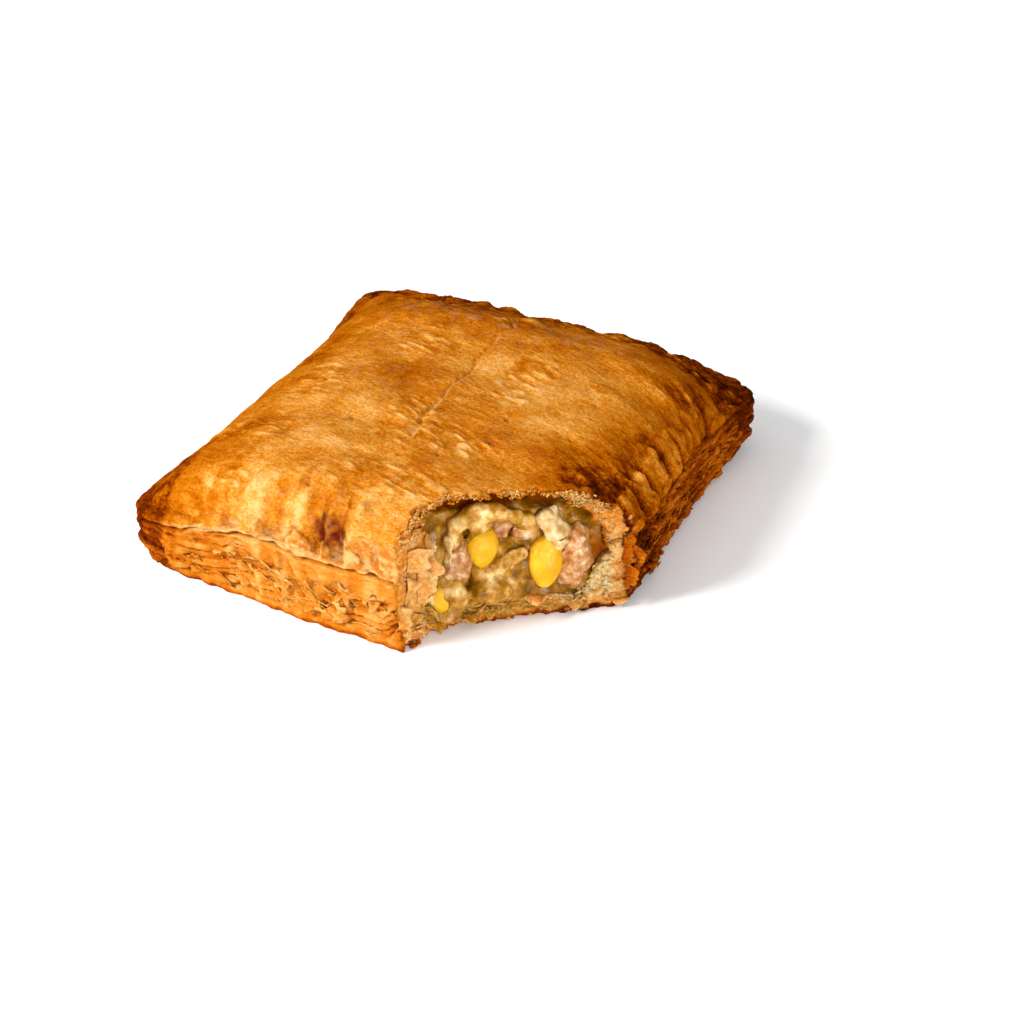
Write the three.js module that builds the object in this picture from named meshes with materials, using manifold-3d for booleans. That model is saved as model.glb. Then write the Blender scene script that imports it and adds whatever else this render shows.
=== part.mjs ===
// A baked puff-pastry pasty with one corner torn off, so that its filling shows.
//
// One sheet of pastry is folded over the filling: the fold is the smooth round side at -X, and the
// other three sides are pressed shut, with a row of crimps above a seam. The front corner (+X, -Y)
// is missing, and the torn face shows the lid, the base, the thick pressed sides, the creamy filling
// and the pieces of sweetcorn, meat and onion in it.
//
// Millimetres, +Z up. The shapes are laid out round a point near the pasty's middle, and the group
// then shifts them, so that the origin is under the middle of the bounding box, on the flat base.

import * as THREE from "three";
import { ParametricGeometry } from "three/addons/geometries/ParametricGeometry.js";
import { mergeVertices } from "three/addons/utils/BufferGeometryUtils.js";
import Module from "manifold-3d";

// ---------------------------------------------------------------- driving dimensions

// The outline seen from above. The front side is the one at -Y and the right side the one at +X.
const CORNERS = {
  foldFront: [-50.7, -53.4],
  tornFront: [57, -63],
  crimpBack: [49.5, 55],
  foldBack: [-50.5, 57],
};
const CORNER_POWER = 16; // how square the outline is: 2 would be an ellipse
const CORNER_FLARE = 0.075; // how far the tips stand out, as a share
const TIP_SHARPNESS = 10; // how soon the flare fades out away from a tip

const TOP_HEIGHT = 33; // highest part of the lid
const TIP_SEAM_HEIGHT = 13.5; // the seam at the corner tips
const SEAM_HEIGHT = { front: 19.5, right: 16.5, back: 15.5, fold: 13 }; // and halfway along a side

// How the lid comes up from each side: over what distance, and how square its shoulder is.
const SHOULDER = {
  front: { reach: 17, power: 2.9 },
  right: { reach: 25, power: 2.0 },
  back: { reach: 30, power: 1.35 },
  fold: { reach: 36, power: 1.65 },
};

const CRIMP_PITCH = 9;
const CRIMP_DEPTH = { front: 1.5, right: 1.5, back: 0.8, fold: 0 };
const CRIMP_WANDER = 0.35; // how uneven the pitch is, as a share of it
const LIP_TOP = 4.2; // how far the crimped band stands straight up from the seam
const LEDGE_DEPTH = 0.8; // how far the baked layers below the seam stand in and out
const LEDGE_WANDER = 0.7; // and up and down
const FOLD_BASE_INSET = 7; // the fold is round, so it rests this far in
const TIP_BASE_INSET = 3; // the tips curl up a little

const LID_THICKNESS = 3;
const BASE_THICKNESS = 3.6;
const WALL = { front: 10, right: 6.5, back: 8.5, fold: 4.5 }; // from outside to filling
const TIP_WALL = 2.5; // added to it at the tips
const LEAST_HOLLOW = 4; // headroom that is left everywhere in the hollow
const GAP = 0.3; // between touching pieces

// The tear across the missing corner, from the front side to the right side.
const TEAR_LINE = [
  [14.5, -70],
  [16, -59],
  [18.5, -49.5],
  [23.5, -43],
  [30, -37.8],
  [37.5, -31.5],
  [44.5, -26.2],
  [51.5, -20.5],
  [66, -12],
];
const TORN_SIDE = { x: 0.628, y: -0.779 }; // from the pasty towards the missing corner
const TEAR_RAGGED = 1.3; // how far the torn edge wanders
const LID_LEAN = 1.4; // the lid breaks back a little at its middle
const BASE_LEAN = 1.2; // and the base runs on a little further
const FAR = 90; // past anything, in plan
const ABOVE = 42; // and in height

const FILLING_SETBACK = 1.6; // the filling's face behind the torn edge
const FILLING_LUMPS = 2;
const FILLING_SLUMP = 3.4; // its top leans back
const FILLING_TOE = 1.6; // and its foot comes forward
const LID_VOID = { height: 4.2, reach: 20 }; // the air under the lid behind the mouth
const POCKET_STEPS = [0, 2.2, 4.6]; // a piece's pocket, drawn out towards the mouth so that it shows

// The pieces in the filling: full sizes across, through and up, where the middle is, and how it
// lies, in degrees. turn is about Z from facing -Y, lean is sideways, and nod is forwards.
const PIECES = [
  { name: "corn_left", size: [6.8, 4.8, 9.6], at: [26.4, -38.7, 18.4], turn: 30, lean: 6, nod: -20 },
  { name: "corn_right", size: [7.6, 5.2, 12], at: [38.2, -31.3, 13.6], turn: 34, lean: 8, nod: -22 },
  { name: "corn_low", size: [8.4, 5.6, 7.2], at: [19.7, -46.2, 7.4], turn: 20, lean: 60, nod: -10 },
  { name: "meat_left", size: [6.2, 3.2, 11.2], at: [22.6, -42.6, 14.6], turn: 44, lean: 14, nod: -14 },
  { name: "meat_right", size: [6.8, 5.4, 14], at: [43.4, -27.3, 14.6], turn: 40, lean: 6, nod: -8 },
  { name: "meat_middle", size: [5, 4.4, 4.6], at: [28.9, -34.6, 22.4], turn: 36, lean: 10, nod: 0 },
  { name: "meat_back", size: [6.2, 4, 4], at: [33.4, -32.6, 21.2], turn: 36, lean: -12, nod: 0 },
  { name: "onion_top", size: [5.4, 4.6, 8.4], at: [39.1, -29.6, 22.6], turn: 40, lean: -16, nod: -10 },
  { name: "onion_small", size: [4, 3.4, 3.8], at: [41.6, -29.6, 18.2], turn: 10, lean: 30, nod: 0 },
];
const KERNEL_TAPER = 0.3; // a kernel's point is this much slimmer than its crown
const KERNEL_CORNERS = 0.12; // and its sides are slightly square
const LUMP_BLOCKINESS = 0.45; // a lump is between a ball, 0, and a block, 1
const LUMP_DENTS = 0.16;

// How finely the surfaces are divided: columns along a crimped side and along the fold.
const OUTSIDE_COLUMNS = { crimped: 44, fold: 20 };
const HOLLOW_COLUMNS = { crimped: 20, fold: 14 };
const TEAR_GRID = { along: 40, up: 20 };
const FILLING_GRID = { along: 30, up: 16 };

// ---------------------------------------------------------------- small helpers

const { lerp, clamp, smoothstep, degToRad } = THREE.MathUtils;
const HALF_WIDTH = (CORNERS.crimpBack[0] - CORNERS.foldBack[0]) / 2;
const HALF_LENGTH = (CORNERS.foldBack[1] - CORNERS.foldFront[1]) / 2;

// A repeatable number from -1 to 1 for each point of a lattice.
function lattice(i, j, k) {
  const s = Math.sin(i * 127.1 + j * 311.7 + k * 74.7) * 43758.5453;
  return 2 * (s - Math.floor(s)) - 1;
}

// Smooth noise from -1 to 1, with bumps about one unit across.
function noise(x, y, z) {
  const [i, j, k] = [x, y, z].map(Math.floor);
  const [u, v, w] = [x - i, y - j, z - k].map((t) => t * t * (3 - 2 * t));
  const row = (b, c) => lerp(lattice(i, j + b, k + c), lattice(i + 1, j + b, k + c), u);
  return lerp(lerp(row(0, 0), row(1, 0), v), lerp(row(0, 1), row(1, 1), v), w);
}

// ---------------------------------------------------------------- the outline seen from above

// A point of the square from -1 to 1 both ways, carried onto the four-cornered plan.
function plan(a, b) {
  const [s, t] = [(a + 1) / 2, (b + 1) / 2];
  const front = CORNERS.foldFront.map((v, n) => lerp(v, CORNERS.tornFront[n], s));
  const back = CORNERS.foldBack.map((v, n) => lerp(v, CORNERS.crimpBack[n], s));
  return front.map((v, n) => lerp(v, back[n], t));
}

// The outline at one bearing: where it is, how much it belongs to each side, and how near a tip.
function edgeAt(angle) {
  const [c, s] = [Math.cos(angle), Math.sin(angle)];
  const norm = (Math.abs(c) ** CORNER_POWER + Math.abs(s) ** CORNER_POWER) ** (1 / CORNER_POWER);
  const tip = Math.sin(2 * angle) ** TIP_SHARPNESS;
  const flare = 1 + CORNER_FLARE * tip;
  const [a, b] = [(c / norm) * flare, (s / norm) * flare];
  const facing = { front: -s, right: c, back: s, fold: -c };
  const shares = {};
  for (const side in facing) shares[side] = Math.max(0, facing[side] / norm) ** 8;
  const total = Object.values(shares).reduce((sum, share) => sum + share);
  for (const side in shares) shares[side] /= total;
  const [x, y] = plan(a, b);
  const run = y * (shares.right + shares.fold) + x * (shares.front + shares.back);
  return { a, b, x, y, run, tip, shares, radius: Math.hypot(x, y) };
}

// A number that is given for each side, blended for one bearing.
const blend = (edge, values) =>
  Object.keys(values).reduce((sum, side) => sum + edge.shares[side] * values[side], 0);

const seamHeight = (edge) => lerp(blend(edge, SEAM_HEIGHT), TIP_SEAM_HEIGHT, edge.tip);

// A point at a distance in from the outline, and at a height.
function inward(edge, inset, z) {
  const keep = 1 - inset / edge.radius;
  return new THREE.Vector3(edge.x * keep, edge.y * keep, z);
}

// Bearings round the outline, from the right side to the back, the fold and the front.
function bearings({ crimped, fold }) {
  return [crimped, crimped, fold, crimped].flatMap((count, side) =>
    Array.from({ length: count }, (_, i) => side * (Math.PI / 2) + Math.atan((2 * i) / count - 1)),
  );
}

// ---------------------------------------------------------------- the pastry's outside

// The lid's height at a distance in from the outline: a pillow with a shoulder along each side.
function lidHeight(edge, inset) {
  const keep = 1 - inset / edge.radius;
  const distance = {
    front: (1 + edge.b * keep) * HALF_LENGTH,
    right: (1 - edge.a * keep) * HALF_WIDTH,
    back: (1 - edge.b * keep) * HALF_LENGTH,
    fold: (1 + edge.a * keep) * HALF_WIDTH,
  };
  let rise = 1;
  for (const side in SHOULDER) {
    const { reach, power } = SHOULDER[side];
    rise *= (1 - (1 - clamp(distance[side] / reach, 0, 1)) ** power) ** (1 / power);
  }
  return lerp(seamHeight(edge), TOP_HEIGHT, rise);
}

// How far the crimps stand out here: ridges and dents that fade out at the tips and on the fold.
function crimp(edge) {
  const wander = CRIMP_WANDER * noise(edge.run / 17, edge.b * 3, 4.5);
  const wave = Math.cos(2 * Math.PI * (edge.run / CRIMP_PITCH + wander));
  return wave * blend(edge, CRIMP_DEPTH) * (1 - edge.tip);
}

// The outside from the base up to the seam, as [inset, share of the seam's height, is it layered].
const LOWER_RINGS = [
  [2.6, 0, false],
  [0.9, 0.1, false],
  [0.1, 0.28, true],
  [1.1, 0.36, true],
  [-0.1, 0.5, true],
  [0.9, 0.6, true],
  [-0.1, 0.76, true],
  [0, 0.93, false],
  [1.3, 1, false],
];
// Then the upright lip, as [inset, rise above the seam, share of the crimps].
const LIP_RINGS = [
  [0.2, 0.9, 0.1],
  [0.5, 3.0, 0.4],
];
// Then the lid, as [inset, share of the crimps], and its middle, as shares of the radius.
const LID_RINGS = [
  [1.4, 1],
  [3.0, 1.1],
  [5.2, 0.9],
  [8, 0.3],
  [12, 0],
  [18, 0],
  [25, 0],
];
const DOME_SHARES = [0.38, 0.2];

function lowerPoint(edge, [inset, share, layered], level) {
  const seam = seamHeight(edge);
  const ledge = layered ? LEDGE_DEPTH * noise(edge.run / 6, level * 3.3, 1.5) : 0;
  const lift = layered ? LEDGE_WANDER * noise(edge.run / 9, level * 2.1, 7.5) : 0;
  const curl = TIP_BASE_INSET * edge.tip * (1 - share) ** 2;
  const round = FOLD_BASE_INSET * (1 - Math.sqrt(1 - (1 - share) ** 2));
  const fold = edge.shares.fold;
  return inward(edge, lerp(inset + ledge + curl, round, fold), share * seam + lift * (1 - fold));
}

function outsideRings(angle) {
  const edge = edgeAt(angle);
  const seam = seamHeight(edge);
  const depth = crimp(edge);
  const upright = lerp(1, 0.25, edge.tip);
  const rings = LOWER_RINGS.map((ring, level) => lowerPoint(edge, ring, level));
  for (const [inset, rise, share] of LIP_RINGS) {
    const round = 0.02 * rise * rise;
    rings.push(inward(edge, lerp(inset, round, edge.shares.fold) - share * depth, seam + rise * upright));
  }
  for (const [inset, share] of LID_RINGS) {
    const level = Math.max(lidHeight(edge, inset), seam + LIP_TOP * upright);
    rings.push(inward(edge, inset - 0.4 * share * depth, level + 0.8 * share * depth));
  }
  for (const share of DOME_SHARES) {
    const inset = edge.radius * (1 - share);
    rings.push(inward(edge, inset, lidHeight(edge, inset)));
  }
  return rings;
}

// ---------------------------------------------------------------- the hollow that the filling fills

const CEILING_INSETS = [16, 24, 34];

// Rings up the hollow's wall and over its ceiling, shrunk all round by a margin. The ceiling comes
// down by drop(x, y), where the filling has sunk away from the lid.
function hollowRings(angle, margin, drop) {
  const edge = edgeAt(angle);
  const seam = seamHeight(edge);
  const wall = blend(edge, WALL) + TIP_WALL * edge.tip;
  const ceiling = (inset) => [inset, lidHeight(edge, inset) - LID_THICKNESS, true];
  const rings = [
    [wall + 3.5, BASE_THICKNESS, false],
    [wall + 1, lerp(BASE_THICKNESS, seam, 0.3), false],
    [wall, lerp(BASE_THICKNESS, seam, 0.75), false],
    [wall + 0.8, seam + 1.5, true],
    ceiling(wall + 3.5),
    ...CEILING_INSETS.map((inset) => ceiling(Math.max(inset, wall + 5))),
  ];
  return rings.map(([inset, z, isCeiling]) => {
    const point = inward(edge, inset + margin, z + margin);
    if (!isCeiling) return point;
    point.z = Math.max(BASE_THICKNESS + LEAST_HOLLOW, z - margin - drop(point.x, point.y));
    return point;
  });
}

// ---------------------------------------------------------------- solids

const wasm = await Module();
wasm.setup();

// A closed geometry as a solid for cutting and joining, its shared vertices merged.
function toSolid(geometry) {
  geometry.deleteAttribute("normal");
  geometry.deleteAttribute("uv");
  const merged = mergeVertices(geometry, 1e-4);
  const index = merged.index.array;
  const kept = [];
  for (let i = 0; i < index.length; i += 3) {
    const [p, q, r] = index.slice(i, i + 3);
    if (p !== q && q !== r && r !== p) kept.push(p, q, r);
  }
  const mesh = new wasm.Mesh({
    numProp: 3,
    vertProperties: merged.attributes.position.array,
    triVerts: new Uint32Array(kept),
  });
  return new wasm.Manifold(mesh);
}

// Rings round the bearings, closed by a fan to a middle point below and one above.
function ringSolid(columns, ringsAt, bottom, top) {
  const rings = bearings(columns).map(ringsAt);
  const count = rings[0].length;
  const place = (u, v, target) => {
    const column = rings[Math.round(u * rings.length) % rings.length];
    const level = Math.round(v * (count + 1)) - 1;
    if (level < 0) target.set(0, 0, bottom);
    else if (level >= count) target.set(0, 0, top);
    else target.copy(column[level]);
  };
  return toSolid(new ParametricGeometry(place, rings.length, count + 1));
}

// The hollow as a solid, shrunk by a margin, its ceiling lowered by drop.
function hollowSolid(margin, drop = () => 0) {
  const ringsAt = (angle) => hollowRings(angle, margin, drop);
  const top = TOP_HEIGHT - LID_THICKNESS - margin;
  return ringSolid(HOLLOW_COLUMNS, ringsAt, BASE_THICKNESS + margin, top);
}

// The largest body of a solid, without the crumbs that a ragged cut leaves loose.
function largest(solid) {
  return solid.decompose().reduce((a, b) => (b.volume() > a.volume() ? b : a));
}

// ---------------------------------------------------------------- the tear

const tearCurve = new THREE.CatmullRomCurve3(TEAR_LINE.map(([x, y]) => new THREE.Vector3(x, y, 0)));
const tearSamples = tearCurve.getSpacedPoints(80);

// How far a point lies behind the tear, inside what is left of the pasty.
function behindTear(x, y) {
  const away = (p) => Math.hypot(x - p.x, y - p.y);
  const nearest = tearSamples.reduce((p, q) => (away(q) < away(p) ? q : p));
  const side = (x - nearest.x) * TORN_SIDE.x + (y - nearest.y) * TORN_SIDE.y;
  return -Math.sign(side) * away(nearest);
}

// Everything on the missing corner's side of the tear, its near face moved back by a rough amount.
function cornerCutter({ along, up }, setback) {
  const line = tearCurve.getSpacedPoints(along);
  const corners = [
    [FAR, line.at(-1).y],
    [FAR, -FAR],
    [line[0].x, -FAR],
  ].map(([x, y]) => new THREE.Vector2(x, y));
  const nearFace = line.map((p) => new THREE.Vector2(p.x, p.y));
  const shape = new THREE.Shape([...nearFace, ...corners]);
  const geometry = new THREE.ExtrudeGeometry(shape, { depth: ABOVE, steps: up, bevelEnabled: false });
  geometry.translate(0, 0, -2);
  const key = (x, y) => `${x.toFixed(3)} ${y.toFixed(3)}`;
  const onTear = new Set(nearFace.map((p) => key(p.x, p.y)));
  const at = geometry.attributes.position;
  for (let i = 0; i < at.count; i++) {
    const [x, y, z] = [at.getX(i), at.getY(i), at.getZ(i)];
    if (!onTear.has(key(x, y))) continue;
    const back = setback(x, y, z);
    at.setXY(i, x - TORN_SIDE.x * back, y - TORN_SIDE.y * back);
  }
  return toSolid(geometry);
}

function pastryTear(x, y, z) {
  const rough = noise(x / 3.1, y / 3.1, z / 2.6) + 0.6 * noise(x / 1.6 + 9, y / 1.6, z / 1.5);
  const lean = LID_LEAN * smoothstep(z, 22, 32) - BASE_LEAN * smoothstep(-z, -6, 0);
  return TEAR_RAGGED * rough + lean;
}

function fillingTear(x, y, z) {
  const lumps = noise(x / 5.5, y / 5.5, z / 5) + 0.5 * noise(x / 2.8, y / 2.8 + 5, z / 2.6);
  const slump = FILLING_SLUMP * smoothstep(z, 17, 28) - FILLING_TOE * smoothstep(-z, -9, -3);
  return FILLING_SETBACK + FILLING_LUMPS * lumps + slump;
}

// ---------------------------------------------------------------- pieces in the filling

// A sweetcorn kernel: a broad rounded crown that narrows downwards to its point.
function kernel([width, thickness, height]) {
  const geometry = new THREE.SphereGeometry(1, 14, 9).rotateX(Math.PI / 2);
  const at = geometry.attributes.position;
  for (let i = 0; i < at.count; i++) {
    const [x, y, z] = [at.getX(i), at.getY(i), at.getZ(i)];
    const taper = 1 - KERNEL_TAPER * smoothstep(-z, -0.2, 1);
    const corners = 1 + KERNEL_CORNERS * Math.sin(2 * Math.atan2(y, x)) ** 2;
    const slim = (taper * corners) / 2;
    at.setXYZ(i, x * width * slim, y * thickness * slim, (z * height) / 2);
  }
  return geometry;
}

// A torn lump of meat or onion: a rounded block with dents.
function lump([width, thickness, height], seed) {
  const geometry = new THREE.IcosahedronGeometry(1, 2);
  const at = geometry.attributes.position;
  const p = new THREE.Vector3();
  for (let i = 0; i < at.count; i++) {
    p.fromBufferAttribute(at, i);
    const block = (p.x ** 4 + p.y ** 4 + p.z ** 4) ** -0.25;
    const dent = LUMP_DENTS * noise(p.x * 1.7 + seed, p.y * 1.7, p.z * 1.7);
    p.multiplyScalar(lerp(1, block, LUMP_BLOCKINESS) + dent);
    at.setXYZ(i, (p.x * width) / 2, (p.y * thickness) / 2, (p.z * height) / 2);
  }
  return geometry;
}

// A piece as a solid, grown all round, and moved forward out of the mouth.
function pieceSolid(piece, grow = 0, forward = 0) {
  const size = piece.size.map((v) => v + 2 * grow);
  const isCorn = piece.name.startsWith("corn");
  const geometry = isCorn ? kernel(size) : lump(size, 8 * PIECES.indexOf(piece));
  const [nod, lean, turn] = [piece.nod, piece.lean, piece.turn].map(degToRad);
  const pose = new THREE.Matrix4().makeRotationFromEuler(new THREE.Euler(nod, lean, turn, "ZYX"));
  const [x, y, z] = piece.at;
  pose.setPosition(x + TORN_SIDE.x * forward, y + TORN_SIDE.y * forward, z);
  return toSolid(geometry.applyMatrix4(pose));
}

// ---------------------------------------------------------------- cutting and joining

const outside = ringSolid(OUTSIDE_COLUMNS, outsideRings, 0, TOP_HEIGHT);
const tornShell = outside.subtract(hollowSolid(0)).subtract(cornerCutter(TEAR_GRID, pastryTear));
const solids = { pastry: largest(tornShell) };

const inside = hollowSolid(GAP);
const sunk = (x, y) => LID_VOID.height * smoothstep(-behindTear(x, y), -LID_VOID.reach, -1);
let filling = hollowSolid(GAP, sunk).intersect(inside).subtract(cornerCutter(FILLING_GRID, fillingTear));
for (const piece of PIECES) {
  for (const forward of POCKET_STEPS) filling = filling.subtract(pieceSolid(piece, GAP, forward));
}
solids.filling = largest(filling);

PIECES.forEach((piece, order) => {
  let solid = pieceSolid(piece).intersect(inside);
  for (const earlier of PIECES.slice(0, order)) solid = solid.subtract(pieceSolid(earlier, GAP));
  solids[piece.name] = largest(solid);
});

// ---------------------------------------------------------------- the meshes

const food = (color, roughness) => new THREE.MeshStandardMaterial({ color, roughness, metalness: 0 });
const MATERIALS = {
  pastry: food(0xd8862f, 0.45),
  filling: food(0xdcbf85, 0.35),
  corn: food(0xf7c331, 0.25),
  meat: food(0xd9a27c, 0.4),
  onion: food(0xe6d6ae, 0.3),
};

function toMesh(name, solid) {
  const made = solid.getMesh();
  const positions = new Float32Array(made.numVert * 3);
  for (let i = 0; i < made.numVert; i++) {
    positions.set(made.vertProperties.subarray(i * made.numProp, i * made.numProp + 3), i * 3);
  }
  const geometry = new THREE.BufferGeometry();
  geometry.setAttribute("position", new THREE.BufferAttribute(positions, 3));
  geometry.setIndex(new THREE.BufferAttribute(made.triVerts, 1));
  geometry.computeVertexNormals();
  const mesh = new THREE.Mesh(geometry, MATERIALS[name.split("_")[0]]);
  mesh.name = name;
  return mesh;
}

const pasty = new THREE.Group();
for (const name in solids) pasty.add(toMesh(name, solids[name]));
const bounds = new THREE.Box3().setFromObject(pasty);
const centre = bounds.getCenter(new THREE.Vector3());
pasty.position.set(-centre.x, -centre.y, -bounds.min.z);

export default pasty;
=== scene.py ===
"""The torn pasty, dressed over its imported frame.

The pastry is worked out as a field of depths below its surface, sampled on a fine grid and meshed: first
the plain pillow that the frame has, then its wrinkles, crimps, flaky leaves and torn edges. Sizes are in
millimetres in the layout that the frame was drawn in, and become metres in the frame at the very end.
"""

import math
from types import SimpleNamespace

import bpy
import numpy as np
import openvdb
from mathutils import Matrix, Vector


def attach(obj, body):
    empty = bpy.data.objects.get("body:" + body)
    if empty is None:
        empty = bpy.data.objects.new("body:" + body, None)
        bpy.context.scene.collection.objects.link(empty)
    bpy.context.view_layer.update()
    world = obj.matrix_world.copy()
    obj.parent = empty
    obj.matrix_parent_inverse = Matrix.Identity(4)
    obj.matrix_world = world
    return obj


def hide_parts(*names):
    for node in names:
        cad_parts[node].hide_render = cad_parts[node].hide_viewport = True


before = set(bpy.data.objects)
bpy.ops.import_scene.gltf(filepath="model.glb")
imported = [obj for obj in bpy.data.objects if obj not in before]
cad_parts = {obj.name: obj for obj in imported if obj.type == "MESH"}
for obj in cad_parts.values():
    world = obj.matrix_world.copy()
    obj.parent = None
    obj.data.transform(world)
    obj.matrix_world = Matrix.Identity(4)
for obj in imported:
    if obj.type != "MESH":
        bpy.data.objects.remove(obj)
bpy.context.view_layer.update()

# ---------------------------------------------------------------- driving dimensions

MIDDLE = (0.3718, 0.5009)  # the middle of the frame, in the layout
FINE = 0.34  # grid step of the crust
FINE_FILLING = 0.3
FINE_PIECE = 0.22  # grid step of the kernels, meat and onion
GRID_MARGIN = 4  # steps of room around a node
MOST_TRIANGLES = 190000  # in one piece
SIDE_LEAVES = 1500  # how many places are tried for them
TORN_LEAVES = 13000
LOWEST_LEAF = 0.25  # so that no leaf reaches into the floor
LEAF_THICKNESS = {"side_leaves": 0.26, "torn_leaves": 0.4, "large_shreds": 0.4}

# The camera, as the photograph was taken.
LENS = 105
LOOK_AT = (13.568, 1.719, 0)
CAMERA_DISTANCE = 694
CAMERA_TURN = 26.37
CAMERA_RISE = 33

FLOOR_REACH = 4000
FLOOR_COLOURS = ("FFFFFF", "FCFBFA")
WORLD_LIGHT = (0.14, 0.72)  # at the horizon and overhead

# The lamps: name, watts, size, the direction it comes from (turn from +X towards +Y, rise) and distance,
# in metres and degrees.
LIGHTS = [
    ("key", 13.0, 0.38, 226, 36, 1.0),
    ("front", 9.0, 0.7, 314, 15, 1.05),
]

# The outline seen from above, as the frame has it.
CORNERS = {
    "fold_front": (-50.7, -53.4),
    "torn_front": (57, -63),
    "crimp_back": (49.5, 55),
    "fold_back": (-50.5, 57),
}
CORNER_POWER = 16  # how square the outline is
CORNER_FLARE = 0.075  # how far the tips stand out of it
TIP_SHARPNESS = 10  # how near its corners the tips begin
HALF_WIDTH = (CORNERS["crimp_back"][0] - CORNERS["fold_back"][0]) / 2
HALF_LENGTH = (CORNERS["fold_back"][1] - CORNERS["fold_front"][1]) / 2

TOP_HEIGHT = 33
HIGHEST_WRINKLE = 0.9  # over the plain lid's top
TIP_SEAM_HEIGHT = 13.5
SEAM_HEIGHT = {"front": 17.7, "right": 16.5, "back": 15.5, "fold": 13}
SHOULDER = {"front": (17, 2.9), "right": (25, 2.0), "back": (30, 1.35), "fold": (36, 1.65)}  # width, fullness
LIP_TOP = 4.2  # how far the crimped margin rises above the seam
FOLD_BASE_INSET = 7  # how far the folded side and the tips draw in at the base
TIP_BASE_INSET = 3

LID_THICKNESS = 3
SHEET_GAP = 0.12  # between the two sheets, along the seam
SKIN_THICKNESS = 0.35  # of the glaze that has peeled
BASE_THICKNESS = 3.6
WALL = {"front": 10, "right": 6.5, "back": 8.5, "fold": 4.5}
TIP_WALL = 2.5  # added at the tips

TEAR_LINE = [
    (14.5, -70),
    (16, -59),
    (18.5, -49.5),
    (23.5, -43),
    (30, -37.8),
    (37.5, -31.5),
    (44.5, -26.2),
    (51.5, -20.5),
    (66, -12),
]
LID_LEAN = 1.4  # how far the lid's torn edge stands back, and the base's stands out
BASE_LEAN = 1.2

LEAF_PITCH = {"sides": 1.45, "front": 2.1, "tear": 1.05}  # the pastry's layers, from one to the next

# The crests of the crimps, along each side.
CRIMP_CRESTS = {
    "front": (-58, -49, -41.5, -30.9, -20.9, -8.6, -1.4, 5.7, 14.4, 24, 33),
    "right": (-40, -31, -23.5, -16, -9, -1, 9.2, 16.4, 24.1, 32.6, 42.8, 51, 60),
    "back": (-60, -50, -39.5, -31, -21, -12.5, -2.5, 7.5, 16, 25.5, 34, 42.5, 51, 60),
}
CRIMP_DEPTH = {"front": 1.2, "right": 1.1, "back": 0.35}
CRIMP_SHARPNESS = {"front": 1.2, "right": 9, "back": 1.5}  # how narrow the dents between crests are
MARGIN = 6  # how far in from the outline the crimps reach
MARGIN_FRONT = 9
MARGIN_FULL = 4  # how far in they keep their full depth
WRINKLE_TURN = math.radians(-20)  # the lid's wrinkles run this far off the X axis

# The glaze ends along the front margin: X, and how far above the seam. Below it the skin has peeled.
GLAZE_EDGE = [
    (-60, -2), (-44, -1), (-36, 1.6), (-16, 2.6), (-11, 5.2), (-7, 4.6), (-4.5, 1.6), (-1.5, 2.2),
    (1.5, 6.4), (5, 7.2), (8, 8), (11.5, 6.2), (14.5, 8.6), (20, 9.5),
]
POOL = (-1.4, -54.8, 23)  # where glaze has run together and baked dark

POOL_DENT = 1.3
POOL_DENT_WIDTH = 2.4
POOL_WIDTH = 4.6  # of its dark colour

# The darkest baked spots of the edge: where, how dark and how wide.
BURNT_TIPS = [(-54, -56, 0.27, 13), (53, 58, 0.06, 12)]

WRINKLED = (-18, -32, 24)  # where the lid is wrinkled most, and how wide around

# Places on the lid that are paler or browner: where, how much and how wide.
LID_TONES = [
    (-18, -39, -0.08, 16), (31, 5, -0.14, 15), (-8, -18, -0.02, 12), (2, 13, -0.06, 9), (16, 34, 0.06, 14),
    (-20, 44, 0.14, 15), (-4, 43, 0.08, 10), (43, -16, 0.05, 9), (56, -14, 0.24, 13),
]

# Places where the lid is fuller than its plain shape: where, how much higher and how wide.
FULL_PLACES = [
    (-45, 50, 2.6, 12), (-47, -47, 1.6, 12), (-48, -12, 1.3, 18), (-12, 58, 0.9, 14), (24, 57, 2.3, 20),
]

# Holes pricked in the lid, and the two creases where the sheet was folded.
PRICK_DEPTH = 1.3
PRICK_WIDTH = 0.6
PRICK_DIMPLE = 0.55  # the shallow dimple round each
PRICK_DIMPLE_WIDTH = 2.4
PRICKS = [
    (-24.9, -32.5), (-13.5, -23.6), (-28.7, -8.1), (-27.8, 4.1), (-26.7, 16.6), (-14, 4), (1.1, -18.7),
    (3.7, -33.9), (11.5, -30), (-9.4, -50.5), (18.8, -23.6), (18.3, -9.7), (33.9, -10), (33.1, 5.4),
    (44.8, -15.5), (18.3, 27.7),
]
CREASE = [(-0.3, 58), (0.2, 46.7), (0.9, -2.5), (2.3, -28.7)]
FAINT_CREASE = [(-34.2, 60), (-34.6, 53), (-38.1, 28)]

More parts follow.
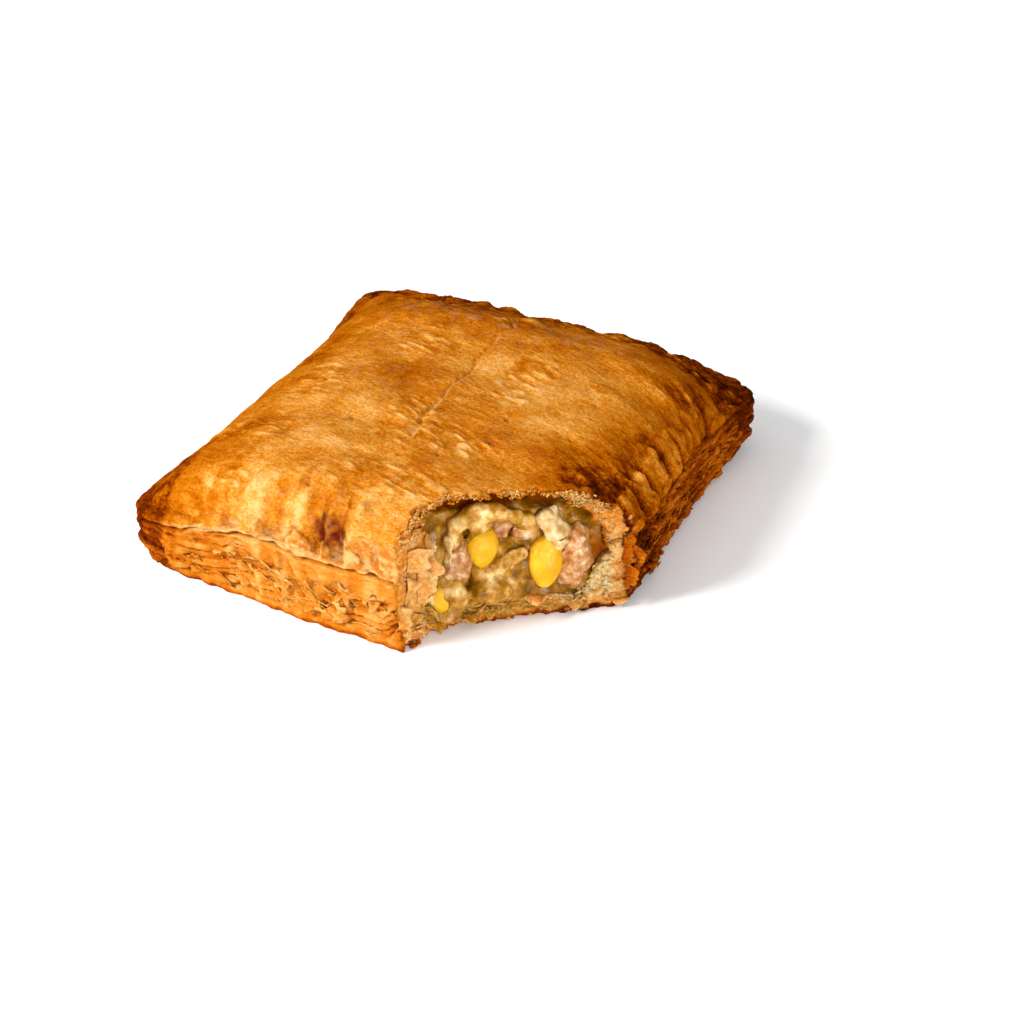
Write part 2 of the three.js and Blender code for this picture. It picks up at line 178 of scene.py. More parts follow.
# The largest shreds: both ends of the line that each grows from, its tip, and how much of it is white
# crumb, soaked with sauce, and toasted (over a half, it is a piece of the outer skin).
LARGE_SHREDS = [
    ((17, -50, 21.5), (16, -51.8, 11), (20.8, -48.9, 16.4), 0.35, 0, 0.3),
    ((15.2, -53.2, 22.5), (15, -53.6, 15), (17.6, -52, 18.6), 0.35, 0, 0.3),
    ((17.8, -48.4, 24.6), (17, -50.4, 20.4), (19.8, -48.6, 21.6), 0.4, 0, 0.3),
    ((20.2, -44.6, 22.8), (20.4, -45.4, 16.4), (22.4, -46.4, 19.6), 0.9, 0, 0.2),
    ((17.4, -50.6, 14), (19.8, -48.4, 11), (20.2, -50, 9.4), 0.6, 0, 0.2),
    ((15.8, -58.9, 18.5), (15.8, -58.9, 10), (17.4, -54.8, 14.4), 0.12, 0, 0.3),
    ((15.9, -58.9, 10.5), (16.1, -58.6, 3), (17.6, -54.8, 6.4), 0.16, 0, 0.3),
    ((17, -56.4, 18), (17, -56.4, 7), (19.2, -52, 12.5), 0.4, 0, 0.3),
    ((17.2, -55.2, 24), (17, -55.6, 18.5), (19.2, -51, 21), 0.4, 0, 0.3),
    ((17.4, -55.4, 8), (17.6, -55, 2.2), (19.8, -51.4, 5), 0.3, 0.6, 0.2),
    ((18, -52.8, 17.5), (17.8, -53.2, 9.5), (20.6, -49.4, 13.5), 0.35, 0, 0.3),
    ((15.9, -52.6, 9.5), (16.4, -52, 5.5), (18.6, -51.4, 7.4), 0.3, 0.9, 0.2),
    ((16.4, -52.2, 5.5), (17.2, -51.2, 2), (19.4, -50.6, 3.6), 0.4, 0.8, 0.2),
    ((18.2, -50.2, 7), (19.6, -48.8, 4), (20.6, -49.6, 5), 0.5, 0.8, 0.2),
    ((18.6, -49.8, 2.4), (21.6, -46.4, 2.2), (21.4, -49.2, 0.9), 0.2, 1, 0.3),
    ((23.6, -44.2, 2.8), (26.8, -41.4, 2.6), (26.4, -44.2, 1.2), 0.4, 0.9, 0.2),
    ((27.4, -40.8, 3.2), (30, -38.6, 3), (29.9, -41, 1.8), 0.3, 0.9, 0.2),
    ((35.2, -35.2, 5.6), (39.4, -32.2, 5.9), (38.4, -36.2, 5), 0.1, 0, 0.3),
    ((42, -29.2, 3.2), (45, -27, 3), (44.6, -29.4, 1.6), 0.5, 0.5, 0.2),
    ((52.2, -20.8, 17.8), (52, -21.2, 10.5), (54.8, -20, 14), 0, 0, 0.52),
    ((53, -20.6, 11), (52.6, -21.2, 4.5), (55.2, -20, 7.6), 0, 0, 0.5),
    ((50.2, -22.6, 1.6), (53.4, -20.4, 1.8), (52.6, -22.4, 1), 0.2, 0, 0.4),
    ((53.6, -19.6, 15.8), (54, -18.6, 8.2), (55.8, -18.4, 11.8), 0, 0, 0.52),
]

# The filling's own forms at the mouth: ends and radius of what stands out, and of what is hollow.
SAUCE_FORMS = [
    ((20.6, -43.2, 20), (21.6, -41.9, 24), 1.5),
    ((21.6, -41.9, 24), (24.6, -39.4, 26.6), 1.6),
    ((24.6, -39.4, 26.6), (29, -36.4, 27.2), 1.8),
    ((29, -36.4, 27.2), (31.8, -33.9, 25.4), 1.6),
    ((31.8, -33.9, 25.4), (33, -33, 23.2), 1.4),
    ((34.8, -31.9, 24), (35.4, -31.6, 21.6), 1.5),
    ((36.2, -30.7, 27.8), (39.5, -28.2, 27), 1.6),
    ((24.2, -45.4, 8.5), (22.6, -46.6, 4.2), 2.3),
    ((21.8, -47.2, 9), (23.6, -45.6, 10.5), 1.2),
    ((20.5, -46.5, 11.5), (23, -44, 11), 1.6),
    ((27.5, -41.2, 8.6), (31, -38.6, 8.2), 2.4),
    ((31, -36.6, 14.5), (33.6, -34.3, 16), 1.7),
    ((30, -37.2, 12.5), (27.8, -38.8, 12), 1.5),
]
SAUCE_HOLLOWS = [
    ((23.5, -39.6, 21.8), (23.6, -40.6, 17.2), 1.3),
    ((19.8, -47.2, 8.6), (20.2, -46.8, 8.4), 1.2),
    ((36.9, -29.9, 25), (37.2, -29.5, 21.3), 1.2),
    ((30.4, -32.6, 20.8), (32.4, -31, 21.6), 2),
    ((46.8, -25.2, 16.5), (48.2, -24, 9), 3.6),
    ((35, -33.4, 8.2), (38, -31, 7), 1.4),
    ((21.6, -46.8, 2.9), (25.4, -43.6, 2.9), 0.9),
    ((22.5, -36.5, 27.5), (31, -31.5, 28.5), 2.6),
    ((31, -31.5, 28.5), (38, -24.5, 27.5), 2.2),
]

# ---------------------------------------------------------------- colours

# Tones from the palest bake, or the deepest crumb and food, upwards.
TOP_TONES = [
    (0.0, "E6AE6A"), (0.16, "D58F36"), (0.32, "BE6C0E"), (0.48, "A25002"), (0.66, "7C3002"), (0.84, "561C02"),
    (1.0, "381202"),
]
SIDE_TONES = [
    (0.0, "DDA257"), (0.2, "CC7F2A"), (0.38, "C0680F"), (0.56, "9C4407"), (0.74, "6E2805"), (1.0, "3C1303"),
]
PEELED_TONES = [(0.2, "B86C26"), (0.5, "CC8840"), (0.8, "DCA664")]
TOASTED_CRUMB = [(0.15, "AE560E"), (0.5, "D6862E"), (0.85, "F0BC78")]
WHITE_CRUMB = [(0.15, "C6893C"), (0.5, "EBBB6C"), (0.85, "FAE6B8")]
SOAKED_CRUMB = [(0.15, "743E02"), (0.5, "A86E12"), (0.85, "DAAC52")]
# Painted shade on the crumb under the lid, over the hollow.
ROOF_SHADE_CRUMB = [(0.15, "8A3A00"), (0.5, "B05604"), (0.85, "CC8420")]
SAUCE_TONES = [(0.28, "744C02"), (0.42, "9C680C"), (0.54, "BE8C38"), (0.7, "E4C688")]
CORN_TONES = [(0.2, "CC8A04"), (0.5, "D8A010"), (0.8, "E2B430")]
MEAT_TONES = [(0.25, "84461A"), (0.42, "A26632"), (0.56, "B88450"), (0.75, "DCC09C")]
ONION_TONES = [(0.25, "9C6A30"), (0.48, "BC965A"), (0.7, "E4CCA0")]
PALE_LINE = "D9B371"  # the seam's lip and the crease
POOL_COLOUR = "5E1602"
PEPPER = "3B1C06"
HOLLOW_SHADE_COLOUR = "9C4A04"  # painted shade deep between the sauce and the crust, under the lid and in the hollow

# Each food's material: its name, tones, roughness, how much light it lets in, its mottles' size and
# contrast, and whether it is peppered, which also gives it painted shade in its deep hollows.
FOODS = {
    "cream": ("creamy_sauce", SAUCE_TONES, 0.15, 0.35, 2.8, 1.0, True),
    "corn": ("sweetcorn", CORN_TONES, 0.16, 0.35, 4, 1.0),
    "meat": ("pale_meat", MEAT_TONES, 0.26, 0.3, 1.6, 1.1),
    "onion": ("onion", ONION_TONES, 0.2, 0.4, 2, 1.0),
}
PEPPERED = 0.72  # how rare the sauce's pepper is, from 0 to 1

# Each food's pieces: how deep and how large their dents are, how much they grow over the frame's own, and
# how often its facets are blurred.
PIECE_SHAPES = {
    "corn": (0.06, 2.5, 0.4, 14),
    "meat": (0.42, 2.6, 0.15, 3),
    "onion": (0.55, 3, 0.3, 8),
}

# ---------------------------------------------------------------- numbers and noise

NOISE_GAIN = 1.6  # brings smoothed random numbers back out towards -1 and 1
LATTICE = np.random.default_rng(11).uniform(-1, 1, 64**3).astype(np.float32)


def noise(x, y, z=0.0):
    """Smooth noise from -1 to 1, with bumps about one unit across."""
    x, y, z = np.broadcast_arrays(x, y, z)
    low = [np.floor(v) for v in (x, y, z)]
    u, v, w = ((at - floor).astype(np.float32) for at, floor in zip((x, y, z), low))
    u, v, w = (t * t * (3 - 2 * t) for t in (u, v, w))
    i, j, k = (floor.astype(np.int64) for floor in low)
    i0, i1 = (i & 63) << 12, ((i + 1) & 63) << 12
    j0, j1 = (j & 63) << 6, ((j + 1) & 63) << 6
    k0, k1 = k & 63, (k + 1) & 63

    def row(j, k):
        return LATTICE[i0 | j | k] * (1 - u) + LATTICE[i1 | j | k] * u

    near = row(j0, k0) * (1 - v) + row(j1, k0) * v
    far = row(j0, k1) * (1 - v) + row(j1, k1) * v
    return NOISE_GAIN * (near * (1 - w) + far * w)


def ramp(value, start, end):
    """0 before start and 1 after end, eased between them."""
    t = np.clip((value - start) / (end - start), 0, 1)
    return t * t * (3 - 2 * t)


def mix(a, b, share):
    """From a to b."""
    return a + (b - a) * share


def bell(t):
    """1 at nought, falling smoothly to 0 on both sides."""
    return np.exp(-(t**2))


def spot(x, y, middle_x, middle_y, wide):
    """1 at a place in plan, falling smoothly to 0 around it."""
    return np.exp(-(((x - middle_x) ** 2 + (y - middle_y) ** 2) / wide**2))


def both(a, b, soft):
    """The lesser of two depths, rounded where they meet."""
    h = np.clip(0.5 + 0.5 * (b - a) / soft, 0, 1)
    return mix(b, a, h) - soft * h * (1 - h)


def either(a, b, soft):
    """The greater of two depths, rounded where they meet."""
    return -both(-a, -b, soft)


def smooth_line(points, count):
    """Points along a smooth line through some given ones."""
    p = np.array(points, float)
    p = np.vstack([2 * p[0] - p[1], p, 2 * p[-1] - p[-2]])
    t = np.linspace(0, len(points) - 1 - 1e-9, count)
    i = t.astype(int)
    f = (t - i)[:, None]
    a, b, c, d = (p[i + n] for n in range(4))
    return 0.5 * (2 * b + (c - a) * f + (2 * a - 5 * b + 4 * c - d) * f**2 + (3 * b - a - 3 * c + d) * f**3)


# ---------------------------------------------------------------- places in plan


def plan(a, b):
    """Where a place in a square, from -1 to 1 both ways, lies in plan between the four corners."""
    s, t = (a + 1) / 2, (b + 1) / 2
    front = [mix(p, q, s) for p, q in zip(CORNERS["fold_front"], CORNERS["torn_front"])]
    back = [mix(p, q, s) for p, q in zip(CORNERS["fold_back"], CORNERS["crimp_back"])]
    return [mix(p, q, t) for p, q in zip(front, back)]


def make_outline():
    """The outline's numbers, by bearing from the layout's origin."""
    angle = np.linspace(-math.pi, math.pi, 1440, endpoint=False)
    c, s = np.cos(angle), np.sin(angle)
    norm = (abs(c) ** CORNER_POWER + abs(s) ** CORNER_POWER) ** (1 / CORNER_POWER)
    tip = np.sin(2 * angle) ** TIP_SHARPNESS
    flare = 1 + CORNER_FLARE * tip
    a, b = c / norm * flare, s / norm * flare
    facing = {"front": -s, "right": c, "back": s, "fold": -c}
    shares = {side: np.maximum(0, value / norm) ** 8 for side, value in facing.items()}
    total = sum(shares.values())
    x, y = plan(a, b)
    along_x, along_y = np.roll(x, -1) - np.roll(x, 1), np.roll(y, -1) - np.roll(y, 1)
    radius = np.hypot(x, y)
    slant = abs(x * along_y - y * along_x) / (radius * np.hypot(along_x, along_y))
    table = {"a": a, "b": b, "tip": tip, "radius": radius, "slant": slant}
    table.update(out_x=along_y, out_y=-along_x)
    table.update({side: share / total for side, share in shares.items()})
    return np.arctan2(y, x), table


OUTLINE_BEARINGS, OUTLINE = make_outline()
TEAR_POINTS = smooth_line(TEAR_LINE, 400)
TEAR_INWARD = np.gradient(TEAR_POINTS, axis=0)[:, ::-1] * (-1, 1)
TEAR_INWARD /= np.hypot(*TEAR_INWARD.T)[:, None]


def behind_tear(x, y):
    """How far places lie behind the tear, inside what is left of the pasty."""
    shape = x.shape
    x, y = x.ravel(), y.ravel()
    nearest = np.empty(len(x), int)
    for part in range(0, len(x), 20000):
        cut = slice(part, part + 20000)
        away = (x[cut, None] - TEAR_POINTS[:, 0]) ** 2 + (y[cut, None] - TEAR_POINTS[:, 1]) ** 2
        nearest[cut] = away.argmin(axis=1)
    inward = TEAR_INWARD[nearest]
    found = (x - TEAR_POINTS[nearest, 0]) * inward[:, 0] + (y - TEAR_POINTS[nearest, 1]) * inward[:, 1]
    return found.reshape(shape)


def bumps(at, size, z):
    """Smooth noise from -1 to 1, with bumps of a size in millimetres in plan."""
    return noise(at.x / size, at.y / size, z)


def blend(at, values):
    """A value given for each side, blended by how near each of them is."""
    return sum(getattr(at, side) * value for side, value in values.items())


def crimp_wave(at):
    """Up to 1 on a crimp's crest and down to -1 between two of them, times the side's depth, with drapery."""
    wave = 0
    for side, crests in CRIMP_CRESTS.items():
        run = at.y if side == "right" else at.x
        run = run + 0.5 * bumps(at, 3, 17)
        phase = np.interp(run, crests, range(len(crests)))
        dent = (0.5 - 0.5 * np.cos(2 * math.pi * phase)) ** CRIMP_SHARPNESS[side]
        size = CRIMP_DEPTH[side] * (1 + 0.35 * noise(run / 9, 3, 18))
        shallow = 1 if side != "back" else ramp(at.x, -34, -14)
        wave = wave + getattr(at, side) * size * shallow * (1 - 2 * dent)
    drapery = 0.5 * noise(at.x / 1.7, at.y / 11, 19) + 1.1 * (ridged(at.x / 2.7, at.y / 9, 24, 3) - 0.3)
    drapery = at.front * drapery + 0.3 * at.right * bumps(at, 1.4, 25)
    return (wave + drapery) * (1 - at.tip)


def off_line(x, y, points):
    """How far places lie from a line that runs mostly along Y."""
    line = np.array(points, float)[::-1]
    return x - np.interp(y, line[:, 1], line[:, 0]), ramp(y, line[0, 1] - 4, line[0, 1] + 4)


def ridged(x, y, z, sharpness):
    """Noise whose crests are sharp ridges, from 0 to 1."""
    return np.clip(1 - abs(noise(x, y, z)), 0, 1) ** sharpness


def wrinkles(at):
    """Relief of the lid: swells, fine wrinkles along the sheet, creases and pricks.

    It also notes the fine relief, which the material paints as light on its crests and shade in its pits, and
    the crease's pale line.
    """
    x, y = at.x, at.y
    along = x * math.cos(WRINKLE_TURN) + y * math.sin(WRINKLE_TURN)
    across = y * math.cos(WRINKLE_TURN) - x * math.sin(WRINKLE_TURN)
    across = across + 0.9 * bumps(at, 14, 8) + 0.25 * bumps(at, 5, 9)
    swell = 0.4 * noise(along / 24, across / 9, 2) + 0.22 * noise(along / 9, across / 6, 5)
    folds = ridged(along / 30, across / 6.5, 14, 2) * ramp(bumps(at, 22, 15), -0.5, 0.5)
    swell = swell + 0.5 * ramp(x, -12, 8) * (folds - 0.3)
    patchy = ramp(noise(x / 15, y / 11, 21) + 0.9 * spot(x, y, *WRINKLED), 0.1, 1.1)
    streaks = ramp(noise(along / 3.6, across / 1.05, 11), 0.1, 1.4) - 0.25
    fine = 0.42 * streaks + 0.13 * noise(along / 1.8, across / 0.9, 12)
    pitted = ramp(at.toast, 0.4, 0.6)
    pits = 0.25 * bumps(at, 2.1, 31) - 0.5 * (ridged(x / 3, y / 3, 32, 5) - 0.2)
    pits = pits - 0.28 * ridged(x / 1.3, y / 1.3, 33, 3)
    off, on = off_line(x + 0.8 * noise(x / 3, y / 4, 41), y, CREASE)
    step = 0.55 * ramp(off, -0.9, 0.6) * ramp(-off, -12, 0)
    crease = on * (step - 0.55 * bell((off + 0.4) / 0.5))
    at.line = 0.6 * on * bell((off + 0.45) / 0.35) * ramp(noise(x / 2, y / 3, 44), -0.4, 0.4)
    off, on = off_line(x, y, FAINT_CREASE)
    faint = -0.25 * on * bell(off / 0.8)
    holes = 0
    for order, (px, py) in enumerate(PRICKS):
        away = np.hypot(x - px, y - py)
        size = 0.75 + 0.25 * math.sin(order * 2.4)
        holes = holes - PRICK_DIMPLE * size * bell(away / PRICK_DIMPLE_WIDTH)
        holes = holes - PRICK_DEPTH * size * bell(away / PRICK_WIDTH)
    at.fine = fine * mix(0.22, 1, patchy) + pitted * pits
    return swell + at.fine + crease + faint + holes


def place(x, y):
    """Everything about places in plan that does not change with height."""
    bearing, reach = np.arctan2(y, x), np.hypot(x, y)
    at = SimpleNamespace(x=x, y=y)
    for name, values in OUTLINE.items():
        setattr(at, name, np.interp(bearing, OUTLINE_BEARINGS, values, period=2 * math.pi))
    at.inset = at.radius - reach
    at.seam = mix(blend(at, SEAM_HEIGHT), TIP_SEAM_HEIGHT, at.tip)
    keep = reach / at.radius
    at.from_side = {
        "front": (1 + at.b * keep) * HALF_LENGTH,
        "right": (1 - at.a * keep) * HALF_WIDTH,
        "back": (1 - at.b * keep) * HALF_LENGTH,
        "fold": (1 + at.a * keep) * HALF_WIDTH,
    }
    at.from_dry = np.minimum(np.minimum(at.from_side["back"], at.from_side["fold"]), at.from_side["right"])
    rise = 1
    for side, (span, power) in SHOULDER.items():
        rise = rise * (1 - (1 - np.clip(at.from_side[side] / span, 0, 1)) ** power) ** (1 / power)
    at.plain_lid = mix(at.seam, TOP_HEIGHT, rise)
    at.tear = behind_tear(x, y)
    at.crimps = crimp_wave(at)
    at.toast = browning(at)
    at.top = lid_top(at)
    at.top_slant = np.ones_like(x)
    return at


def crimped_margin(at, wander=0):
    """1 on the crimped margin and 0 further in."""
    return ramp(-at.inset + wander, -mix(MARGIN, MARGIN_FRONT, at.front), -MARGIN_FULL)


def browning(at):
    """How brown the crust is baked, from 0 to 1: the back, the right side and the tips are darkest."""
    near = {side: np.exp(-((np.maximum(d, 0) / 12) ** 1.3)) for side, d in at.from_side.items()}
    behind = near["back"] * mix(0.6, 1, ramp(at.x, -45, 0))
    edge = 1 - (1 - 0.6 * behind) * (1 - 0.46 * near["right"]) * (1 - 0.25 * near["fold"])
    brown = 0.3 + 0.6 * edge - 0.04 * near["front"]
    for x, y, dark, wide in BURNT_TIPS + LID_TONES:
        brown = brown + dark * spot(at.x, at.y, x, y, wide)
    patches = 0.05 * noise(at.x / 14, at.y / 9, 51) + 0.05 * noise(at.x / 5, at.y / 4, 52)
    patches = patches + 0.09 * near["front"] * noise(at.x / 1.8, at.y / 10, 58)
    # painted shade in the dents between the crimps and painted light on their crests, added to the bake in
    # baking()
    at.grooves = -mix(0.18, 0.05, at.front) * at.crimps * crimped_margin(at)
    return np.clip(brown + patches, 0, 1)


def lid_top(at):
    """The lid's height, with its crimped margin."""
    upright = mix(1, 0.25, at.tip)
    margin = at.seam + LIP_TOP * upright
    crimped = crimped_margin(at, 1.2 * bumps(at, 3, 23))
    level = either(at.plain_lid, margin, 1.5)
    for x, y, higher, wide in FULL_PLACES:
        level = level + higher * spot(at.x, at.y, x, y, wide)
    return both(level + 0.8 * at.crimps * crimped + wrinkles(at), TOP_HEIGHT + HIGHEST_WRINKLE, 1.2)


# ---------------------------------------------------------------- the pastry's depths


def wall_inset(at, z):
    """How far in from the outline the plain side stands at a height."""
    share = np.clip(z / at.seam, 0, 1)
    above = np.maximum(z - at.seam, 0)
    foot = mix(2.6, 0.5, at.front) * (1 - np.clip(share / 0.16, 0, 1)) ** 2
    foot = foot + TIP_BASE_INSET * at.tip * (1 - share) ** 2
    crimped = mix(foot + 0.35, 0.35 + 0.05 * above, ramp(z, at.seam - 0.5, at.seam + 0.5))
    round_side = FOLD_BASE_INSET * (1 - np.sqrt(1 - (1 - share) ** 2)) + 0.02 * above**2
    crimped = crimped - at.crimps * ramp(above, 0, 3) - 1.5 * at.front * bell((at.x + 10) / 24)
    return mix(crimped, round_side, at.fold)


def leaves(at, z):
    """Relief of the flaky side below the seam: thin leaves that stand out unevenly, split apart."""
    x, y = at.x, at.y
    pitch = mix(LEAF_PITCH["sides"], LEAF_PITCH["front"], at.front)
    sway = 1.3 * bumps(at, 18, 61) + 0.5 * bumps(at, 6, 62)
    level = z / pitch + sway
    leaf = np.floor(level)
    t = level - leaf
    reach = 0.75 * bumps(at, 7, leaf * 5.3) + 0.5 * bumps(at, 2.2, leaf * 5.3 + 9)
    split = ramp(bumps(at, 6, leaf * 3.1 + 70), -0.6, 0.3)
    gape = -1.5 * split * abs(2 * t - 1) ** 5
    plain_band = puffed_band(at, z)
    flaky = ramp(z, 1.2, 3.6) * (1 - 0.85 * plain_band)
    run = (x + 0.5 * z) / 2.4
    puffs = 0.35 * noise(run, y / 2.4, z / 6 + 80) + 0.2 * bumps(at, 1.2, z / 1.6)
    puffs = puffs + 0.5 * plain_band * (ridged(run, y / 2.4, z / 9 + 85, 2) - 0.4)
    return (1 - at.fold) * (flaky * (reach + gape) + puffs) + at.fold * 0.5 * puffs


def puffed_band(at, z):
    """1 on the smooth puffed band under the seam in front, which ends towards the fold's tip."""
    return ramp(z, at.seam * 0.6, at.seam * 0.74) * at.front * ramp(at.x, -34, -18)


def seam_relief(at, z):
    """A pressed lip with a crack under it along the seam in front, and a groove elsewhere."""
    off = z - at.seam + 0.5 * bumps(at, 8, 91) + 0.2 * bumps(at, 1.5, 92)
    cracked = ramp(bumps(at, 7, 93), -0.9, -0.2)
    lips = 0.8 * bell((off - 0.9) / 0.8) + 0.45 * bell((off + 0.95) / 0.6)
    lip = at.front * (lips - 1.5 * cracked * bell(off / 0.34))
    groove = -1.1 * bell(off / 0.5) * (1 - at.front) * (1 - at.fold)
    return lip + groove


def peeling(at, z):
    """1 on the front margin where the glazed skin has peeled off, under a ragged edge."""
    height, above = np.array(GLAZE_EDGE).T
    ragged = 0.8 * noise(at.x / 2.4, at.y / 4, 95) + 0.5 * noise(at.x / 0.9, z / 0.9, 96)
    edge = at.seam + np.interp(at.x, height, above) + ragged
    return ramp(edge - z, -0.25, 0.25) * ramp(z, at.seam - 0.4, at.seam + 0.4) * ramp(at.front, 0.4, 0.8)


def wall_relief(at, z):
    below = ramp(-z, -at.seam - 0.3, -at.seam + 1.2)
    rough = 0.3 * bumps(at, 2.8, z / 2.8 + 100) + 0.15 * bumps(at, 1.2, z / 1.2)
    return below * leaves(at, z) + seam_relief(at, z) + (1 - below) * (1 - at.fold) * rough


def wall_depth(at, z, relief=True):
    """Depth below the pasty's side."""
    depth = (at.inset - wall_inset(at, z)) * at.slant
    return depth + wall_relief(at, z) if relief else depth


def outer_depth(at, z, relief=True):
    """Depth below the pasty's whole outside."""
    top = (at.top - z) * at.top_slant
    depth = both(both(wall_depth(at, z, relief), top, 2.0), z, 0.3)
    if relief:
        px, py, pz = POOL
        away = np.sqrt((at.x - px) ** 2 + (at.y - py) ** 2 + (z - pz) ** 2)
        depth = depth - SKIN_THICKNESS * peeling(at, z) - POOL_DENT * bell(away / POOL_DENT_WIDTH)
    return depth


def hollow_depth(at, z, relief=True):
    """Depth inside the hollow that the filling fills."""
    wall = blend(at, WALL) + TIP_WALL * at.tip
    share = z / at.seam
    inset = wall + np.interp(share, (0.18, 0.3, 0.75, 1.1), (3.5, 1, 0, 0.8))
    inset = inset + 3.6 * at.right * ramp(-share, -0.85, -0.5)
    side = (at.inset - inset) * at.slant
    floor = z - BASE_THICKNESS
    torn = ramp(-at.tear, -7, -2)
    thick = LID_THICKNESS * (1 - 0.45 * torn) + 5.5 * torn * ramp(at.x, 37, 52)
    ceiling = at.plain_lid - thick - z
    depth = both(both(side, ceiling, 1.5), floor, 1.0)
    if relief:
        rough = bumps(at, 3, z / 2 + 110) + 0.8 * bumps(at, 1.3, z / 1.2 + 111)
        depth = depth + 0.4 * rough * ramp(-at.tear, -14, -2)
    return depth


def tear_relief(at, z):
    """How the torn face stands in and out: a ragged cut through leaves that tear unevenly."""
    x, y = at.x, at.y
    rough = bumps(at, 3.1, z / 2.6 + 120) + 0.6 * bumps(at, 1.6, z / 1.5)
    leaf = np.floor(z / LEAF_PITCH["tear"] + 0.9 * bumps(at, 8, 131) + 0.3 * bumps(at, 2, 132))
    shred = bumps(at, 2.4, leaf * 3.7) + 0.7 * bumps(at, 0.9, leaf * 3.7 + 5)
    at.shred = shred
    sheets = ramp(-x, -25, -20) * ramp(z, 4, 8) * ramp(-z, -28, -24)
    return mix(0.55, 0.25, sheets) * rough + mix(0.7, 0.06, sheets) * shred


def tear_depth(at, z, relief=True):
    """Depth behind the torn face."""
    depth = at.tear - LID_LEAN * ramp(z, 22, 32) + BASE_LEAN * ramp(-z, -6, 0)
    return depth - tear_relief(at, z) if relief else depth


def split_height(at):
    """Where the top sheet and the bottom one meet: the seam, and on the fold right down at the base."""
    wander = 0.35 * bumps(at, 4, 140)
    return mix(at.seam + wander, -2, ramp(at.fold, 0.35, 0.95))


def pastry_depth(at, z, relief=True):
    crust = both(outer_depth(at, z, relief), -hollow_depth(at, z, relief), 0.3)
    return both(crust, tear_depth(at, z, relief), 0.25)


# ---------------------------------------------------------------- meshing


def largest_part(points, faces):
    """Drop the crumbs that hang loose in the air."""
    label = np.arange(len(points))
    while True:
        low = label[faces].min(axis=1)
        found = label.copy()
        np.minimum.at(found, faces.ravel(), np.repeat(low, 3))
        found = found[found]
        if np.array_equal(found, label):
            break
        label = found
    names, sizes = np.unique(label[faces[:, 0]], return_counts=True)
    faces = faces[label[faces[:, 0]] == names[sizes.argmax()]]
    used, faces = np.unique(faces, return_inverse=True)
    return points[used], faces.reshape(-1, 3)


def mesh_of(field, low, step, plainness=0.002):
    """Points and triangles of the surface where a field of depths is nought, with fewer where it is plain."""
    grid = openvdb.FloatGrid(-2 * step)
    grid.copyFromArray(np.clip(field, -2 * step, 2 * step).astype(np.float32))
    points, triangles, quads = grid.convertToPolygons(0.0, plainness)
    faces = np.vstack([triangles, quads[:, [0, 1, 2]], quads[:, [0, 2, 3]]]).astype(np.int64)
    points, faces = largest_part(points, faces)
    return np.array(low) + points * step, faces


def make_object(name, points, faces, smooth=True):
    """A mesh object from points in the layout, in millimetres."""
    places = (points - (*MIDDLE, 0)) / 1000
    mesh = bpy.data.meshes.new(name)
    mesh.vertices.add(len(places))
    mesh.vertices.foreach_set("co", places.astype(np.float32).ravel())
    corners = faces.shape[1]
    mesh.loops.add(faces.size)
    mesh.loops.foreach_set("vertex_index", faces.astype(np.int32).ravel())
    mesh.polygons.add(len(faces))
    mesh.polygons.foreach_set("loop_start", np.arange(0, faces.size, corners, dtype=np.int32))
    mesh.polygons.foreach_set("use_smooth", np.full(len(faces), smooth))
    mesh.update(calc_edges=True)
    mesh.validate()
    piece = bpy.data.objects.new(name, mesh)
    bpy.context.scene.collection.objects.link(piece)
    return piece


def layers_of(piece, **layers):
    """Store numbers for the materials at the mesh's points."""
    for name, values in layers.items():
        layer = piece.data.attributes.new(name, "FLOAT", "POINT")
        layer.data.foreach_set("value", np.asarray(values, np.float32))


LOW, HIGH = (-57, -64, -1.3), (57, 61, 36)
BAND = 3.5  # relief is worked out this near the plain surface only


def some_of(at, chosen):
    """The same places, only the chosen ones."""
    part = {name: value[chosen] for name, value in vars(at).items() if isinstance(value, np.ndarray)}
    return SimpleNamespace(**part)


def sample_pastry():
    """The depths of both sheets, slice by slice."""
    xs, ys, zs = (np.arange(low, high, FINE) for low, high in zip(LOW, HIGH))
    at = place(*np.meshgrid(xs, ys, indexing="ij"))
    slope = np.hypot(*np.gradient(at.plain_lid, FINE))
    at.top_slant = 1 / np.sqrt(1 + np.minimum(slope, 3) ** 2)
    at.split = split_height(at)
    top_sheet = np.empty((len(xs), len(ys), len(zs)), np.float32)
    bottom_sheet = np.empty_like(top_sheet)
    for level, z in enumerate(zs):
        depth = pastry_depth(at, z, relief=False)
        chosen = abs(depth) < BAND
        depth[chosen] = pastry_depth(some_of(at, chosen), z)
        top_sheet[:, :, level] = both(depth, z - at.split, 0.5)
        bottom_sheet[:, :, level] = both(depth, at.split - SHEET_GAP - z, 0.5)
    return top_sheet, bottom_sheet


